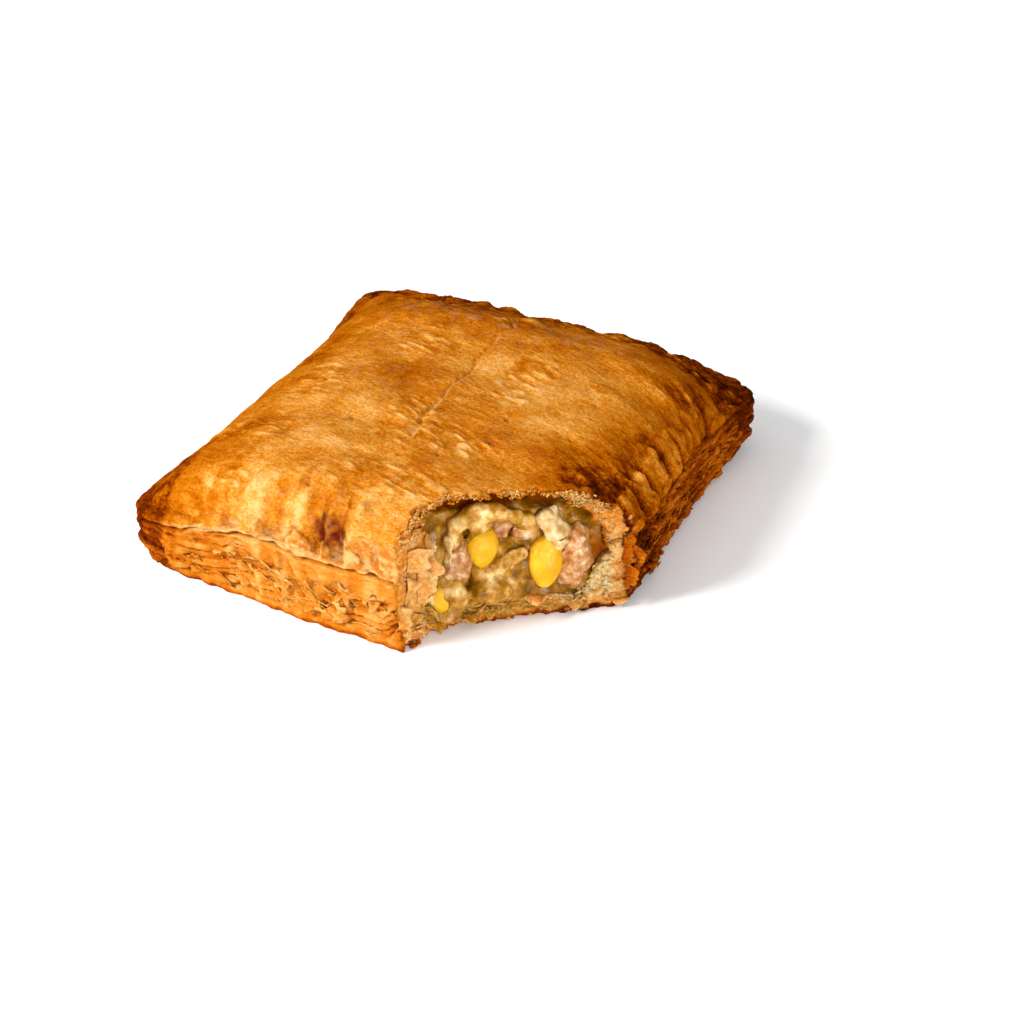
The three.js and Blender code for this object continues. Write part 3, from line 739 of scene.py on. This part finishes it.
def baking(at, z):
    """Numbers that the crust's material reads, for places on it: how it is baked, torn and glazed, and where
    light and shade are painted on it.
    """
    outer, hollow = outer_depth(at, z), hollow_depth(at, z)
    torn = ramp(outer, 0.7, 1.6)
    side = ramp(-z, -at.seam - 1, -at.seam + 1.5)
    margin = np.maximum(side, ramp(-at.inset, -3, -1))
    tear_relief(at, z)
    # crest: painted light on raised relief and painted shade in its hollows, on the lid's wrinkles and pits
    # and on the side's leaves
    crest = mix(1.8 * at.fine, 0.6 * wall_relief(at, z), margin)
    peeled = peeling(at, z)
    px, py, pz = POOL
    away = np.sqrt((at.x - px) ** 2 + (at.y - py) ** 2 + ((z - pz) / 1.3) ** 2)
    away = away + 0.9 * noise(at.x / 1.6, z / 1.6, 98) + 0.5 * noise(at.x / 0.7, z / 0.7, 99)
    above = z - at.seam + 0.5 * bumps(at, 8, 91) - 0.6
    lip = bell(above / mix(0.35, 0.65, ramp(-at.x, -6, 14))) * at.front * ramp(-at.inset, -3.5, -2)
    lip = lip * ramp(at.x + 2.5 * noise(at.x / 3, z / 2, 97), -46, -34)
    white = ramp(outer, 1.4, 4.5) * mix(0.25, 1, ramp(at.x, 34, 46)) * ramp(-z, -24, -12)
    soaked = ramp(hollow, -3.4, -0.6) * ramp(-z, -mix(9, 5, ramp(at.x, 20, 30)), -2) * ramp(-at.x, -46, -36)
    return {
        # the bake, with painted shade in the crimps' dents and painted light on their crests, and browner at
        # the very bottom
        "toast": np.clip(at.toast + at.grooves * (1 - side) + 0.3 * ramp(-z, -2, -0.5), 0, 1),
        "torn": torn,
        "side": side * (1 - torn),
        # on torn faces, painted light on the shreds that stand out
        "crest": mix(crest, 0.35 * at.shred + 0.1, torn),
        "glazed": ramp(z - at.seam, 2.5, 5) * (1 - torn) * (1 - peeled) * ramp(at.from_dry, 15, 30),
        "peeled": peeled * (1 - torn),
        "pool": bell(away / POOL_WIDTH),
        "pale_line": np.maximum(at.line * (1 - margin), lip) * (1 - torn),
        "white": white,
        "soaked": soaked,
        # painted shade on the crumb under the lid
        "roof_shade": ramp(hollow, -1.3, -0.2) * ramp(z, 12, 16),
    }


def thinned(piece, most):
    """Merge the triangles that matter least, until no more than some are left."""
    share = most / len(piece.data.polygons)
    if share < 1:
        piece.modifiers.new("thin", "DECIMATE").ratio = share
        shape = piece.evaluated_get(bpy.context.evaluated_depsgraph_get())
        piece.data = bpy.data.meshes.new_from_object(shape)
        piece.modifiers.clear()
    points = np.empty(len(piece.data.vertices) * 3)
    piece.data.vertices.foreach_get("co", points)
    return points.reshape(-1, 3) * 1000 + (*MIDDLE, 0)


def add_crust(name, field):
    piece = make_object(name, *mesh_of(field, LOW, FINE))
    points = thinned(piece, MOST_TRIANGLES)
    layers_of(piece, **baking(place(points[:, 0], points[:, 1]), points[:, 2]))
    return piece


# ---------------------------------------------------------------- loose leaves of pastry


def add_leaves(name, spots, ragged=0.35, columns=7, rows=4):
    """One mesh of thin closed leaves. Each grows from a root line outwards to a ragged free edge.

    spots holds arrays: middle, half (from the middle of the root line to its end) and reach (from the
    root to the free edge), all vectors; lift, how far the free edge curls; and numbers for the material.
    """
    count = len(spots["middle"])
    u = np.linspace(-1, 1, columns)[None, :, None]
    v = np.linspace(0, 1, rows)[None, None, :]
    seed = 3 + 7.31 * np.arange(count)[:, None, None]
    edge = 1 + ragged * (noise(u * 1.6, seed, 1) + 0.7 * noise(u * 4.2, seed, 2)) - 0.4 * u**4
    narrowing = 1 - 0.15 * v**2 + 0.25 * v * noise(v * 2, seed, 3)
    middle, half, reach = (spots[key][:, None, None, :] for key in ("middle", "half", "reach"))
    length, width = (np.linalg.norm(vector, axis=-1, keepdims=True) for vector in (half, reach))
    out = np.cross(half, reach)
    out = out / np.linalg.norm(out, axis=-1, keepdims=True)
    ripple = 0.16 * np.minimum(length, width)[..., 0] * (noise(u * 1.7, v * 1.6 + seed, 4) - 0.4 * u**2)
    bend = spots["lift"][:, None, None] * v**1.7 + ripple
    sheet = middle + half * (u * narrowing)[..., None]
    sheet = sheet + reach * (v * edge)[..., None] + out * bend[..., None]
    sheet[..., 2] = np.maximum(sheet[..., 2], LOWEST_LEAF)
    rim = np.ones((columns, rows))
    rim[[0, -1], :] = 0.4
    rim[:, -1] = 0.4
    offset = 0.5 * LEAF_THICKNESS[name] * out * rim[None, :, :, None]
    points = np.stack([sheet + offset, sheet - offset], axis=1).reshape(-1, 3)
    template = leaf_faces(columns, rows)
    faces = (template[None] + 2 * columns * rows * np.arange(count)[:, None, None]).reshape(-1, 4)
    piece = make_object(name, points, faces)
    free = np.broadcast_to(np.maximum(v**2, 0.6 * u**4), (count, columns, rows))
    layers = {key: np.broadcast_to(value[:, None, None], free.shape) for key, value in spots["bake"].items()}
    # painted light on each leaf's free edge and painted shade towards its root
    layers["crest"] = layers.get("crest", 0) + 0.9 * free - 0.2
    for key, values in layers.items():
        layers[key] = np.stack([values, values], axis=1).ravel()
    layers_of(piece, **layers)
    return piece


def leaf_faces(columns, rows):
    """Four-cornered faces of one closed leaf: its upper sheet, its lower sheet and its rim."""
    index = np.arange(columns * rows).reshape(columns, rows)
    below = index + columns * rows
    around = [(i, 0) for i in range(columns)] + [(columns - 1, j) for j in range(1, rows)]
    around += [(i, rows - 1) for i in range(columns - 2, -1, -1)] + [(0, j) for j in range(rows - 2, 0, -1)]
    faces = []
    for i in range(columns - 1):
        for j in range(rows - 1):
            cell = [(i, j), (i + 1, j), (i + 1, j + 1), (i, j + 1)]
            faces.append([index[c] for c in cell])
            faces.append([below[c] for c in cell[::-1]])
    for here, there in zip(around, around[1:] + around[:1]):
        faces.append([index[here], below[here], below[there], index[there]])
    return np.array(faces)


def unit(vectors):
    return vectors / np.linalg.norm(vectors, axis=-1, keepdims=True)


def turned(vectors, axis, angle):
    """Vectors turned about unit axes that they are square to."""
    return vectors * np.cos(angle)[:, None] + np.cross(axis, vectors) * np.sin(angle)[:, None]


def side_places(random, count):
    """Random places on the crust's flaky side, with the way along the side and the way out of it."""
    bearing = random.uniform(-math.pi, math.pi, count)
    share = random.uniform(0.08, 1, count)
    reach = np.interp(bearing, OUTLINE_BEARINGS, OUTLINE["radius"], period=2 * math.pi) - 1
    for _ in range(4):
        at = place(reach * np.cos(bearing), reach * np.sin(bearing))
        z = share * at.seam
        reach = reach + np.clip(wall_depth(at, z), -1, 1)
    out = np.stack([at.out_x, at.out_y, np.zeros(count)], axis=1)
    keep = (at.fold < 0.3) & (at.tear > 0.6) & (random.uniform(0, 1, count) > 0.93 * puffed_band(at, z))
    return some_of(at, keep), z[keep], unit(out[keep])


def add_side_leaves():
    """Broken leaves that stand off the flaky sides."""
    random = np.random.default_rng(5)
    at, z, out = side_places(random, SIDE_LEAVES)
    count = len(z)
    up = np.tile((0.0, 0.0, 1.0), (count, 1))
    slant = random.normal(-0.1, 0.25, count) + np.where(at.front > 0.5, -0.15, 0.1)
    along = turned(unit(np.cross(up, out)), out, slant)
    small = 1 - 0.55 * np.maximum(at.tip, ramp(-at.x, 36, 50) * at.front)
    hanging = random.uniform(0, 1, count) < 0.35
    across = np.cross(out, along) * np.where(hanging, -1, 1)[:, None]
    long = random.uniform(1.0, 3.4, count) * small * mix(1.3, 1, at.front)
    wide = random.uniform(0.7, 1.9, count) * small * mix(0.6, 1, at.front)
    lean = random.uniform(0.1, 0.7, count) * mix(0.5, 1, at.front)
    spots = {
        "middle": np.stack([at.x, at.y, z], axis=1) - 0.25 * out,
        "half": along * long[:, None],
        "reach": (across + out * lean[:, None]) * wide[:, None],
        "lift": random.uniform(-0.3, 0.4, count) * wide,
        "bake": {
            "toast": np.clip(at.toast + random.normal(0.02, 0.1, count), 0, 1),
            "side": np.ones(count),
        },
    }
    low = z - long * abs(np.sin(slant)) - 1.4 * wide
    high = at.seam - z - long * abs(np.sin(slant)) - 1.2 * wide
    inside = (spots["middle"] + spots["reach"])[:, 0] < 56
    return add_leaves("side_leaves", chosen_spots(spots, (low > 0.5) & (high > 0) & inside))


def chosen_spots(spots, chosen):
    return {
        key: chosen_spots(value, chosen) if isinstance(value, dict) else value[chosen]
        for key, value in spots.items()
    }


def torn_places(random, count):
    """Random places on the torn face of the crust, with the way along the tear and the way out of it."""
    along = random.integers(60, len(TEAR_POINTS) - 60, count)
    z = random.uniform(0.4, TOP_HEIGHT, count)
    out = -TEAR_INWARD[along]
    at = place(*(TEAR_POINTS[along] - 0.5 * out).T)
    at.x, at.y = (TEAR_POINTS[along] - out * (tear_relief(at, z) + 0.3)[:, None]).T
    inside = np.minimum(outer_depth(at, z), -hollow_depth(at, z))
    at.tangent = np.stack([-out[:, 1], out[:, 0]], axis=1)
    at.out = out
    keep = inside > 0.15
    return some_of(at, keep), z[keep]


def add_torn_leaves():
    """Crumbs along the lid's torn edge, and shreds that stand out of the torn sides and the base."""
    random = np.random.default_rng(8)
    at, z = torn_places(random, TORN_LEAVES)
    count = len(z)
    flat = np.zeros((count, 1))
    out, along = np.hstack([at.out, flat]), np.hstack([at.tangent, flat])
    in_lid, in_base = ramp(z, 17, 21), ramp(-z, -6, -4)
    smooth_sheets = ramp(-at.x, -25, -21) * (1 - in_lid) * (1 - in_base)
    fluffy = ramp(at.x, 44, 47) * (1 - in_lid)
    tilt = random.normal(0, 0.9, count) - 0.3 * in_base
    roll = random.normal(0, 0.5, count) * (1 + (1 - in_lid) * (1 - in_base))
    half = turned(along, out, roll)
    reach = turned(out, half, -tilt)
    small = np.minimum(mix(1, 0.34, in_lid), mix(1, 0.55, fluffy))
    long = random.uniform(0.5, 1.5, count) * small
    wide = random.uniform(0.5, 1.5, count) * small
    bake = baking(at, z)
    bake.update(torn=np.ones(count), side=np.zeros(count), crest=random.normal(0.0, 0.3, count))
    spots = {
        "middle": np.stack([at.x, at.y, z], axis=1) - 0.3 * out,
        "half": half * long[:, None],
        "reach": reach * wide[:, None],
        "lift": random.normal(0, 0.4, count) * wide,
        "bake": bake,
    }
    clear = (spots["middle"] + np.minimum(spots["reach"], 0))[:, 2] > 0.5
    clear = clear & (random.uniform(0, 1, count) > 0.97 * smooth_sheets)
    return add_leaves("torn_leaves", chosen_spots(spots, clear), ragged=0.25, columns=4, rows=3)


def add_large_shreds():
    """The largest sheets and shreds at the tear, one by one."""
    first, last, tip = (np.array([row[part] for row in LARGE_SHREDS], float) for part in range(3))
    white, soaked, toast = np.array([row[3:] for row in LARGE_SHREDS], float).T
    middle = (first + last) / 2
    curl = np.where(np.arange(len(tip)) % 2, -0.25, 0.25)  # to one side and the other in turn
    is_skin = (toast >= 0.5).astype(float)
    bake = {"torn": 1 - is_skin, "side": is_skin, "white": white, "soaked": soaked, "toast": toast}
    spots = {
        "middle": middle,
        "half": (last - first) / 2,
        "reach": tip - middle,
        "lift": curl * np.linalg.norm(tip - middle, axis=1),
        "bake": bake,
    }
    return add_leaves("large_shreds", spots, ragged=0.2, columns=13, rows=8)


# ---------------------------------------------------------------- materials


def linear(colour):
    """A hex colour as the shader takes it."""
    parts = [int(colour[i : i + 2], 16) / 255 for i in (0, 2, 4)]
    return (*(c / 12.92 if c <= 0.04045 else ((c + 0.055) / 1.055) ** 2.4 for c in parts), 1)


class Shader:
    """A small helper that builds a node material."""

    def __init__(self, name):
        self.material = bpy.data.materials.new(name)
        self.material.use_nodes = True
        self.tree = self.material.node_tree
        self.surface = self.tree.nodes["Principled BSDF"]
        self.where = self.node("ShaderNodeTexCoord").outputs["Object"]

    def put(self, socket, value):
        if isinstance(value, bpy.types.NodeSocket):
            self.tree.links.new(value, socket)
        else:
            socket.default_value = value

    def node(self, kind, inputs=None, **settings):
        """A new node with its settings, and with what goes into its sockets, by their names or numbers."""
        node = self.tree.nodes.new(kind)
        for name, value in settings.items():
            setattr(node, name, value)
        for socket, value in (inputs or {}).items():
            self.put(node.inputs[socket], value)
        return node

    def math(self, operation, *values, clamp=False):
        inputs = dict(enumerate(values))
        return self.node("ShaderNodeMath", inputs, operation=operation, use_clamp=clamp).outputs[0]

    def layer(self, name):
        return self.node("ShaderNodeAttribute", attribute_name=name).outputs["Fac"]

    def add(self, value, *terms):
        """A value plus each term's noise, which swings round nought, times its weight."""
        for noise_value, weight in terms:
            value = self.math("ADD", value, self.math("MULTIPLY_ADD", noise_value, weight, -0.5 * weight))
        return value

    def noise(self, size, detail=3, rough=0.55, offset=0.0, turn=0.0):
        """Noise from 0 to 1 whose bumps have a size in millimetres along X, Y and Z."""
        where = self.where
        if turn:
            where = self.node("ShaderNodeMapping", {"Vector": where, "Rotation": (0, 0, -turn)}).outputs[0]
        inputs = {"Vector": where, "Scale": [1000 / s for s in size], "Location": (offset, offset, offset)}
        stretched = self.node("ShaderNodeMapping", inputs).outputs[0]
        inputs = {"Vector": stretched, "Scale": 1, "Detail": detail, "Roughness": rough}
        return self.node("ShaderNodeTexNoise", inputs).outputs["Fac"]

    def cracks(self, size):
        """How far off the nearest crack lies, in cells of a size in millimetres."""
        inputs = {"Vector": self.where, "Scale": 600 / size}
        wander = self.node("ShaderNodeTexNoise", inputs).outputs["Color"]
        inputs = {0: size / 1000, 1: self.where, 2: wander}
        where = self.node("ShaderNodeMixRGB", inputs, blend_type="LINEAR_LIGHT").outputs[0]
        inputs = {"Vector": where, "Scale": 1000 / size}
        return self.node("ShaderNodeTexVoronoi", inputs, feature="DISTANCE_TO_EDGE").outputs["Distance"]

    def span(self, value, start, end, low=0.0, high=1.0):
        inputs = dict(enumerate((value, start, end, low, high)))
        return self.node("ShaderNodeMapRange", inputs, interpolation_type="SMOOTHSTEP").outputs[0]

    def mix(self, share, a, b):
        a, b = (linear(tone) if isinstance(tone, str) else tone for tone in (a, b))
        return self.node("ShaderNodeMix", {0: share, 6: a, 7: b}, data_type="RGBA").outputs[2]

    def ramp(self, value, *stops):
        node = self.node("ShaderNodeValToRGB", {0: value})
        elements = node.color_ramp.elements
        while len(elements) < len(stops):
            elements.new(0.5)
        for element, (position, colour) in zip(elements, stops):
            element.position = position
            element.color = linear(colour)
        return node.outputs[0]

    def bump(self, height, distance, strength=1.0, under=None):
        inputs = {"Height": height, "Distance": distance / 1000, "Strength": strength}
        if under is not None:
            inputs["Normal"] = under
        return self.node("ShaderNodeBump", inputs).outputs[0]

    def finish(self, **sockets):
        for name, value in sockets.items():
            self.put(self.surface.inputs[name.replace("_", " ")], value)
        return self.material


def crust_material():
    s = Shader("baked_crust")
    toast, torn, side, crest = (s.layer(name) for name in ("toast", "torn", "side", "crest"))
    mottle = s.span(s.noise((3, 1.6, 2), detail=5, rough=0.65), 0.3, 0.7)
    grain = s.noise((0.8, 0.6, 0.6), detail=5, rough=0.75, offset=3)
    speckle = s.span(grain, 0.36, 0.64)
    cracks = s.span(s.cracks(1.5), 0.0, 0.2)
    cracked = s.math("MULTIPLY", s.math("SUBTRACT", 1.0, cracks), s.span(toast, 0.42, 0.62))
    stripes = s.noise((5, 0.9, 2), detail=3, offset=7, turn=WRINKLE_TURN)
    leafy = s.noise((4, 4, 0.7), detail=4, rough=0.7, offset=5)

    tone = s.add(toast, (stripes, 0.18), (mottle, 0.12), (speckle, 0.19))
    tone = s.math("MULTIPLY_ADD", cracked, 0.07, tone)
    # painted light on the raised wrinkles and painted shade in the pits
    tone = s.math("MULTIPLY_ADD", crest, -0.27, tone, clamp=True)
    top = s.ramp(tone, *TOP_TONES)
    side_tone = s.add(toast, (leafy, 0.5), (speckle, 0.12))
    # painted light on the side's raised leaves and painted shade between them
    side_tone = s.math("MULTIPLY_ADD", crest, -0.26, side_tone, clamp=True)
    outside = s.mix(side, top, s.ramp(side_tone, *SIDE_TONES))
    outside = s.mix(s.layer("peeled"), outside, s.ramp(s.add(mottle, (speckle, 0.25)), *PEELED_TONES))
    outside = s.mix(s.math("MULTIPLY", s.layer("pale_line"), 0.7), outside, PALE_LINE)
    outside = s.mix(s.span(s.layer("pool"), 0.15, 0.85), outside, POOL_COLOUR)

    crumb_tone = s.add(s.noise((1.6, 1.6, 0.9), detail=4, rough=0.65, offset=9), (speckle, 0.2))
    # painted light on the shreds that stand out of the torn faces
    crumb_tone = s.math("MULTIPLY_ADD", crest, 0.3, crumb_tone, clamp=True)
    inside = s.ramp(crumb_tone, *TOASTED_CRUMB)
    # white and soaked crumb are the crumb's own colours; the roof's is painted shade under the lid
    for name, tones in (("white", WHITE_CRUMB), ("soaked", SOAKED_CRUMB), ("roof_shade", ROOF_SHADE_CRUMB)):
        inside = s.mix(s.layer(name), inside, s.ramp(crumb_tone, *tones))
    colour = s.mix(torn, outside, inside)

    shine = s.noise((3, 2, 2), detail=3, offset=11)
    dull = s.math("SUBTRACT", 1.0, s.layer("glazed"), clamp=True)
    rough = s.math("MULTIPLY_ADD", dull, 0.25, s.span(shine, 0.3, 0.7, 0.3, 0.5))
    wet = s.span(s.noise((0.9, 0.9, 0.9), detail=2, offset=13), 0.5, 0.62, 0.0, 0.8)
    glints = s.math("MULTIPLY", s.layer("glazed"), s.span(shine, 0.5, 0.62, 0.0, 0.5))
    bump = s.bump(grain, 0.55, 0.9)
    bump = s.bump(cracked, -0.25, 0.8, bump)
    bump = s.bump(stripes, 0.5, 0.5, bump)
    leaf_height = s.math("MULTIPLY", leafy, s.math("MULTIPLY_ADD", torn, 0.4, side))
    bump = s.bump(leaf_height, 0.6, 0.6, bump)
    return s.finish(
        Base_Color=colour,
        Roughness=rough,
        Specular_IOR_Level=0.0,
        Normal=bump,
        Subsurface_Weight=s.math("MULTIPLY_ADD", torn, 0.25, 0.05),
        Subsurface_Radius=(1.0, 0.45, 0.2),
        Subsurface_Scale=0.0012,
        Coat_Normal=bump,
        Coat_Roughness=0.13,
        Coat_Weight=s.math("MAXIMUM", glints, s.math("MULTIPLY", s.layer("pool"), wet)),
    )


def moist_food(name, tones, roughness, glow, size, contrast, peppered=False):
    """A moist food: tones in soft mottles, a little see-through, with a fine bump."""
    s = Shader(name)
    mottle = s.noise((size, size, size), detail=4, rough=0.6)
    tone = s.add(0.5, (mottle, contrast), (s.noise((5, 5, 5), offset=2), 0.5))
    grain = s.noise((0.5, 0.5, 0.5), detail=3, offset=5)
    wet = s.span(s.noise((1.4, 1.4, 1.4), detail=2, offset=15), 0.5, 0.6, 0.05, 0.8)
    if peppered:
        tone = s.math("MULTIPLY_ADD", s.layer("pale"), 0.1, s.math("SUBTRACT", tone, 0.1))
    colour = s.ramp(tone, *tones)
    if peppered:
        pepper = s.noise((0.55, 0.55, 0.55), detail=1, offset=21)
        colour = s.mix(s.span(pepper, PEPPERED, PEPPERED + 0.02), colour, PEPPER)
        # painted shade where the sauce lies deep under the lid and in its hollow, with no glints there
        colour = s.mix(s.layer("deep"), colour, HOLLOW_SHADE_COLOUR)
        wet = s.math("MULTIPLY", wet, s.math("SUBTRACT", 1.0, s.layer("deep"), clamp=True))
    bump = s.bump(grain, 0.25, 0.5, s.bump(tone, 0.35, 0.5))
    return s.finish(
        Base_Color=colour,
        Roughness=roughness,
        Specular_IOR_Level=0.1,
        Normal=bump,
        Subsurface_Weight=glow,
        Subsurface_Radius=(1.0, 0.6, 0.3),
        Subsurface_Scale=0.002,
        Coat_Normal=bump,
        Coat_Roughness=0.1,
        Coat_Weight=wet,
    )


# ---------------------------------------------------------------- the filling and its pieces


def node_points(name):
    """A frame node's own mesh, in the layout's millimetres."""
    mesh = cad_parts[name].data
    points = np.empty(len(mesh.vertices) * 3)
    mesh.vertices.foreach_get("co", points)
    mesh.calc_loop_triangles()
    corners = np.empty(len(mesh.loop_triangles) * 3, np.int32)
    mesh.loop_triangles.foreach_get("vertices", corners)
    return points.reshape(-1, 3) * 1000 + (*MIDDLE, 0), corners.reshape(-1, 3)


def soften(field, times):
    """Blur a field a little, to melt the frame's facets."""
    for _ in range(times):
        for axis in range(3):
            field = 0.5 * field + 0.25 * (np.roll(field, 1, axis) + np.roll(field, -1, axis))
    return field


def depths_of(name, step, soft):
    """A frame node as a field of depths on its own grid, blurred a number of times."""
    points, triangles = node_points(name)
    low = points.min(axis=0) - GRID_MARGIN * step
    size = np.ceil((points.max(axis=0) - low) / step).astype(int) + GRID_MARGIN
    shell = openvdb.FloatGrid.createLevelSetFromPolygons(
        ((points - low) / step).astype(np.float32), triangles=triangles.astype(np.uint32), halfWidth=6.0
    )
    field = np.full(size, 6.0, np.float32)
    shell.copyToArray(field)
    field = soften(-field * step, soft)
    axes = [low[n] + step * np.arange(size[n]) for n in range(3)]
    return field, low, np.meshgrid(*axes, indexing="ij", sparse=True)


def capsule(x, y, z, start, end, radius):
    """Depth below the surface of a round-ended rod."""
    start, end = np.array(start, float), np.array(end, float)
    run = end - start
    away = (x - start[0], y - start[1], z - start[2])
    share = np.clip(sum(a * r for a, r in zip(away, run)) / (run @ run), 0, 1)
    return radius - np.sqrt(sum((a - share * r) ** 2 for a, r in zip(away, run)))


def add_filling():
    field, low, (x, y, z) = depths_of("filling", FINE_FILLING, 3)
    tear = behind_tear(*np.broadcast_arrays(x[:, :, 0], y[:, :, 0]))[:, :, None]
    near = ramp(-tear, -16, -8)
    field = field + 0.45 * near
    for start, end, radius in SAUCE_FORMS:
        field = either(field, capsule(x, y, z, start, end, radius), 1.4)
    for start, end, radius in SAUCE_HOLLOWS:
        field = both(field, -capsule(x, y, z, start, end, radius), 0.9)
    at = place(*np.broadcast_arrays(x[:, :, 0], y[:, :, 0]))
    for level, height in enumerate(z.ravel()):
        inside = hollow_depth(at, height, relief=False) + 0.5
        field[:, :, level] = both(field[:, :, level], inside, 0.6)
    lumps = 0.4 * noise(x / 3.8, y / 3.8, z / 3.8) + 0.15 * noise(x / 1.9, y / 1.9, z / 1.9 + 4)
    lumps = lumps + 0.05 * noise(x / 0.9, y / 0.9, z / 0.9 + 8)
    piece = make_object("creamy_filling", *mesh_of(field + near * lumps, low, FINE_FILLING))
    x, y, z = thinned(piece, MOST_TRIANGLES).T
    behind = behind_tear(x, y)
    # Painted shade on the sauce under the lid and in the deep hollow at the right of the mouth.
    roof_shade = ramp(behind, 4.5, 7.5) * ramp(z, 18, 24)
    cavity = np.exp(-(((x - 47.5) / 3) ** 2) - ((z - 13) / 7) ** 2)
    nearest = np.max([capsule(x, y, z, start, end, radius) for start, end, radius in SAUCE_FORMS], axis=0)
    layers_of(piece, deep=np.maximum(roof_shade, cavity), pale=ramp(nearest, -3.2, 0.2))
    return piece


def add_piece(name, bumps, size, grow, soft):
    """A finer copy of a node in the filling, with the small dents of cooked food."""
    field, low, (x, y, z) = depths_of(name, FINE_PIECE, soft)
    large = noise(x / size, y / size, z / size)
    small = noise(x * 2 / size, y * 2 / size, z * 2 / size)
    points, faces = mesh_of(field + grow + bumps * (large + 0.5 * small), low, FINE_PIECE)
    return make_object("cooked_" + name, points, faces)


# ---------------------------------------------------------------- light, camera and floor


def add_stage():
    s = Shader("pale_floor")
    floor_colour = s.mix(s.noise((40, 40, 40), detail=2), *FLOOR_COLOURS)
    material = s.finish(Base_Color=floor_colour, Roughness=0.9, Specular_IOR_Level=0.1)
    points = FLOOR_REACH * np.array([(-1.0, -1, 0), (1, -1, 0), (1, 1, 0), (-1, 1, 0)])
    floor = make_object("floor", points, np.array([[0, 1, 2, 3]]))
    floor.data.materials.append(material)
    world = bpy.data.worlds.new("studio")
    world.use_nodes = True
    links, nodes = world.node_tree.links, world.node_tree.nodes
    direction = nodes.new("ShaderNodeSeparateXYZ")
    links.new(nodes.new("ShaderNodeTexCoord").outputs["Generated"], direction.inputs[0])
    sky = nodes.new("ShaderNodeMapRange")
    for socket, number in zip(sky.inputs[1:], (0, 1, *WORLD_LIGHT)):
        socket.default_value = number
    links.new(direction.outputs["Z"], sky.inputs[0])
    nodes["Background"].inputs["Color"].default_value = (1, 1, 1, 1)
    links.new(sky.outputs[0], nodes["Background"].inputs["Strength"])
    bpy.context.scene.world = world


def towards(turn, rise):
    turn, rise = math.radians(turn), math.radians(rise)
    return Vector((math.cos(turn) * math.cos(rise), math.sin(turn) * math.cos(rise), math.sin(rise)))


def stand(name, data, place, back):
    """Put up a lamp or the camera at a place, facing the other way from a direction."""
    thing = bpy.data.objects.new(name, data)
    thing.location = place
    thing.rotation_euler = back.to_track_quat("Z", "Y").to_euler()
    bpy.context.scene.collection.objects.link(thing)
    return thing


def add_lights():
    for name, watts, size, turn, rise, distance in LIGHTS:
        light = bpy.data.lights.new(name, "AREA")
        light.energy = watts
        light.shape = "DISK"
        light.size = size
        direction = towards(turn, rise)
        stand(name, light, direction * distance, direction)


def add_camera():
    camera = bpy.data.cameras.new("camera")
    camera.lens = LENS
    camera.sensor_width = 36
    camera.clip_start = 0.01
    back = towards(CAMERA_TURN - 90, CAMERA_RISE)
    target = Vector(((LOOK_AT[0] - MIDDLE[0]) / 1000, (LOOK_AT[1] - MIDDLE[1]) / 1000, LOOK_AT[2] / 1000))
    bpy.context.scene.camera = stand("camera", camera, target + back * CAMERA_DISTANCE / 1000, back)


# ---------------------------------------------------------------- putting it together

bpy.context.scene.view_settings.view_transform = "Standard"
add_camera()
add_stage()
add_lights()


def settle(piece, material, slot, *nodes):
    """Give a piece its material, attach it to the frame's root, and hide the frame nodes that it stands in
    for.
    """
    piece.data.materials.append(material)
    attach(piece, "root")
    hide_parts(*nodes)


crust = crust_material()
top_sheet, bottom_sheet = sample_pastry()
crust_pieces = [add_crust("top_sheet", top_sheet), add_crust("bottom_sheet", bottom_sheet)]
crust_pieces += [add_side_leaves(), add_torn_leaves(), add_large_shreds()]
for piece in crust_pieces:
    settle(piece, crust, "crust", "pastry")

foods = {kind: moist_food(*values) for kind, values in FOODS.items()}
settle(add_filling(), foods["cream"], "cream", "filling")
for name in sorted(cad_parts):
    kind = name.split("_")[0]
    if kind in PIECE_SHAPES:
        settle(add_piece(name, *PIECE_SHAPES[kind]), foods[kind], kind, name)
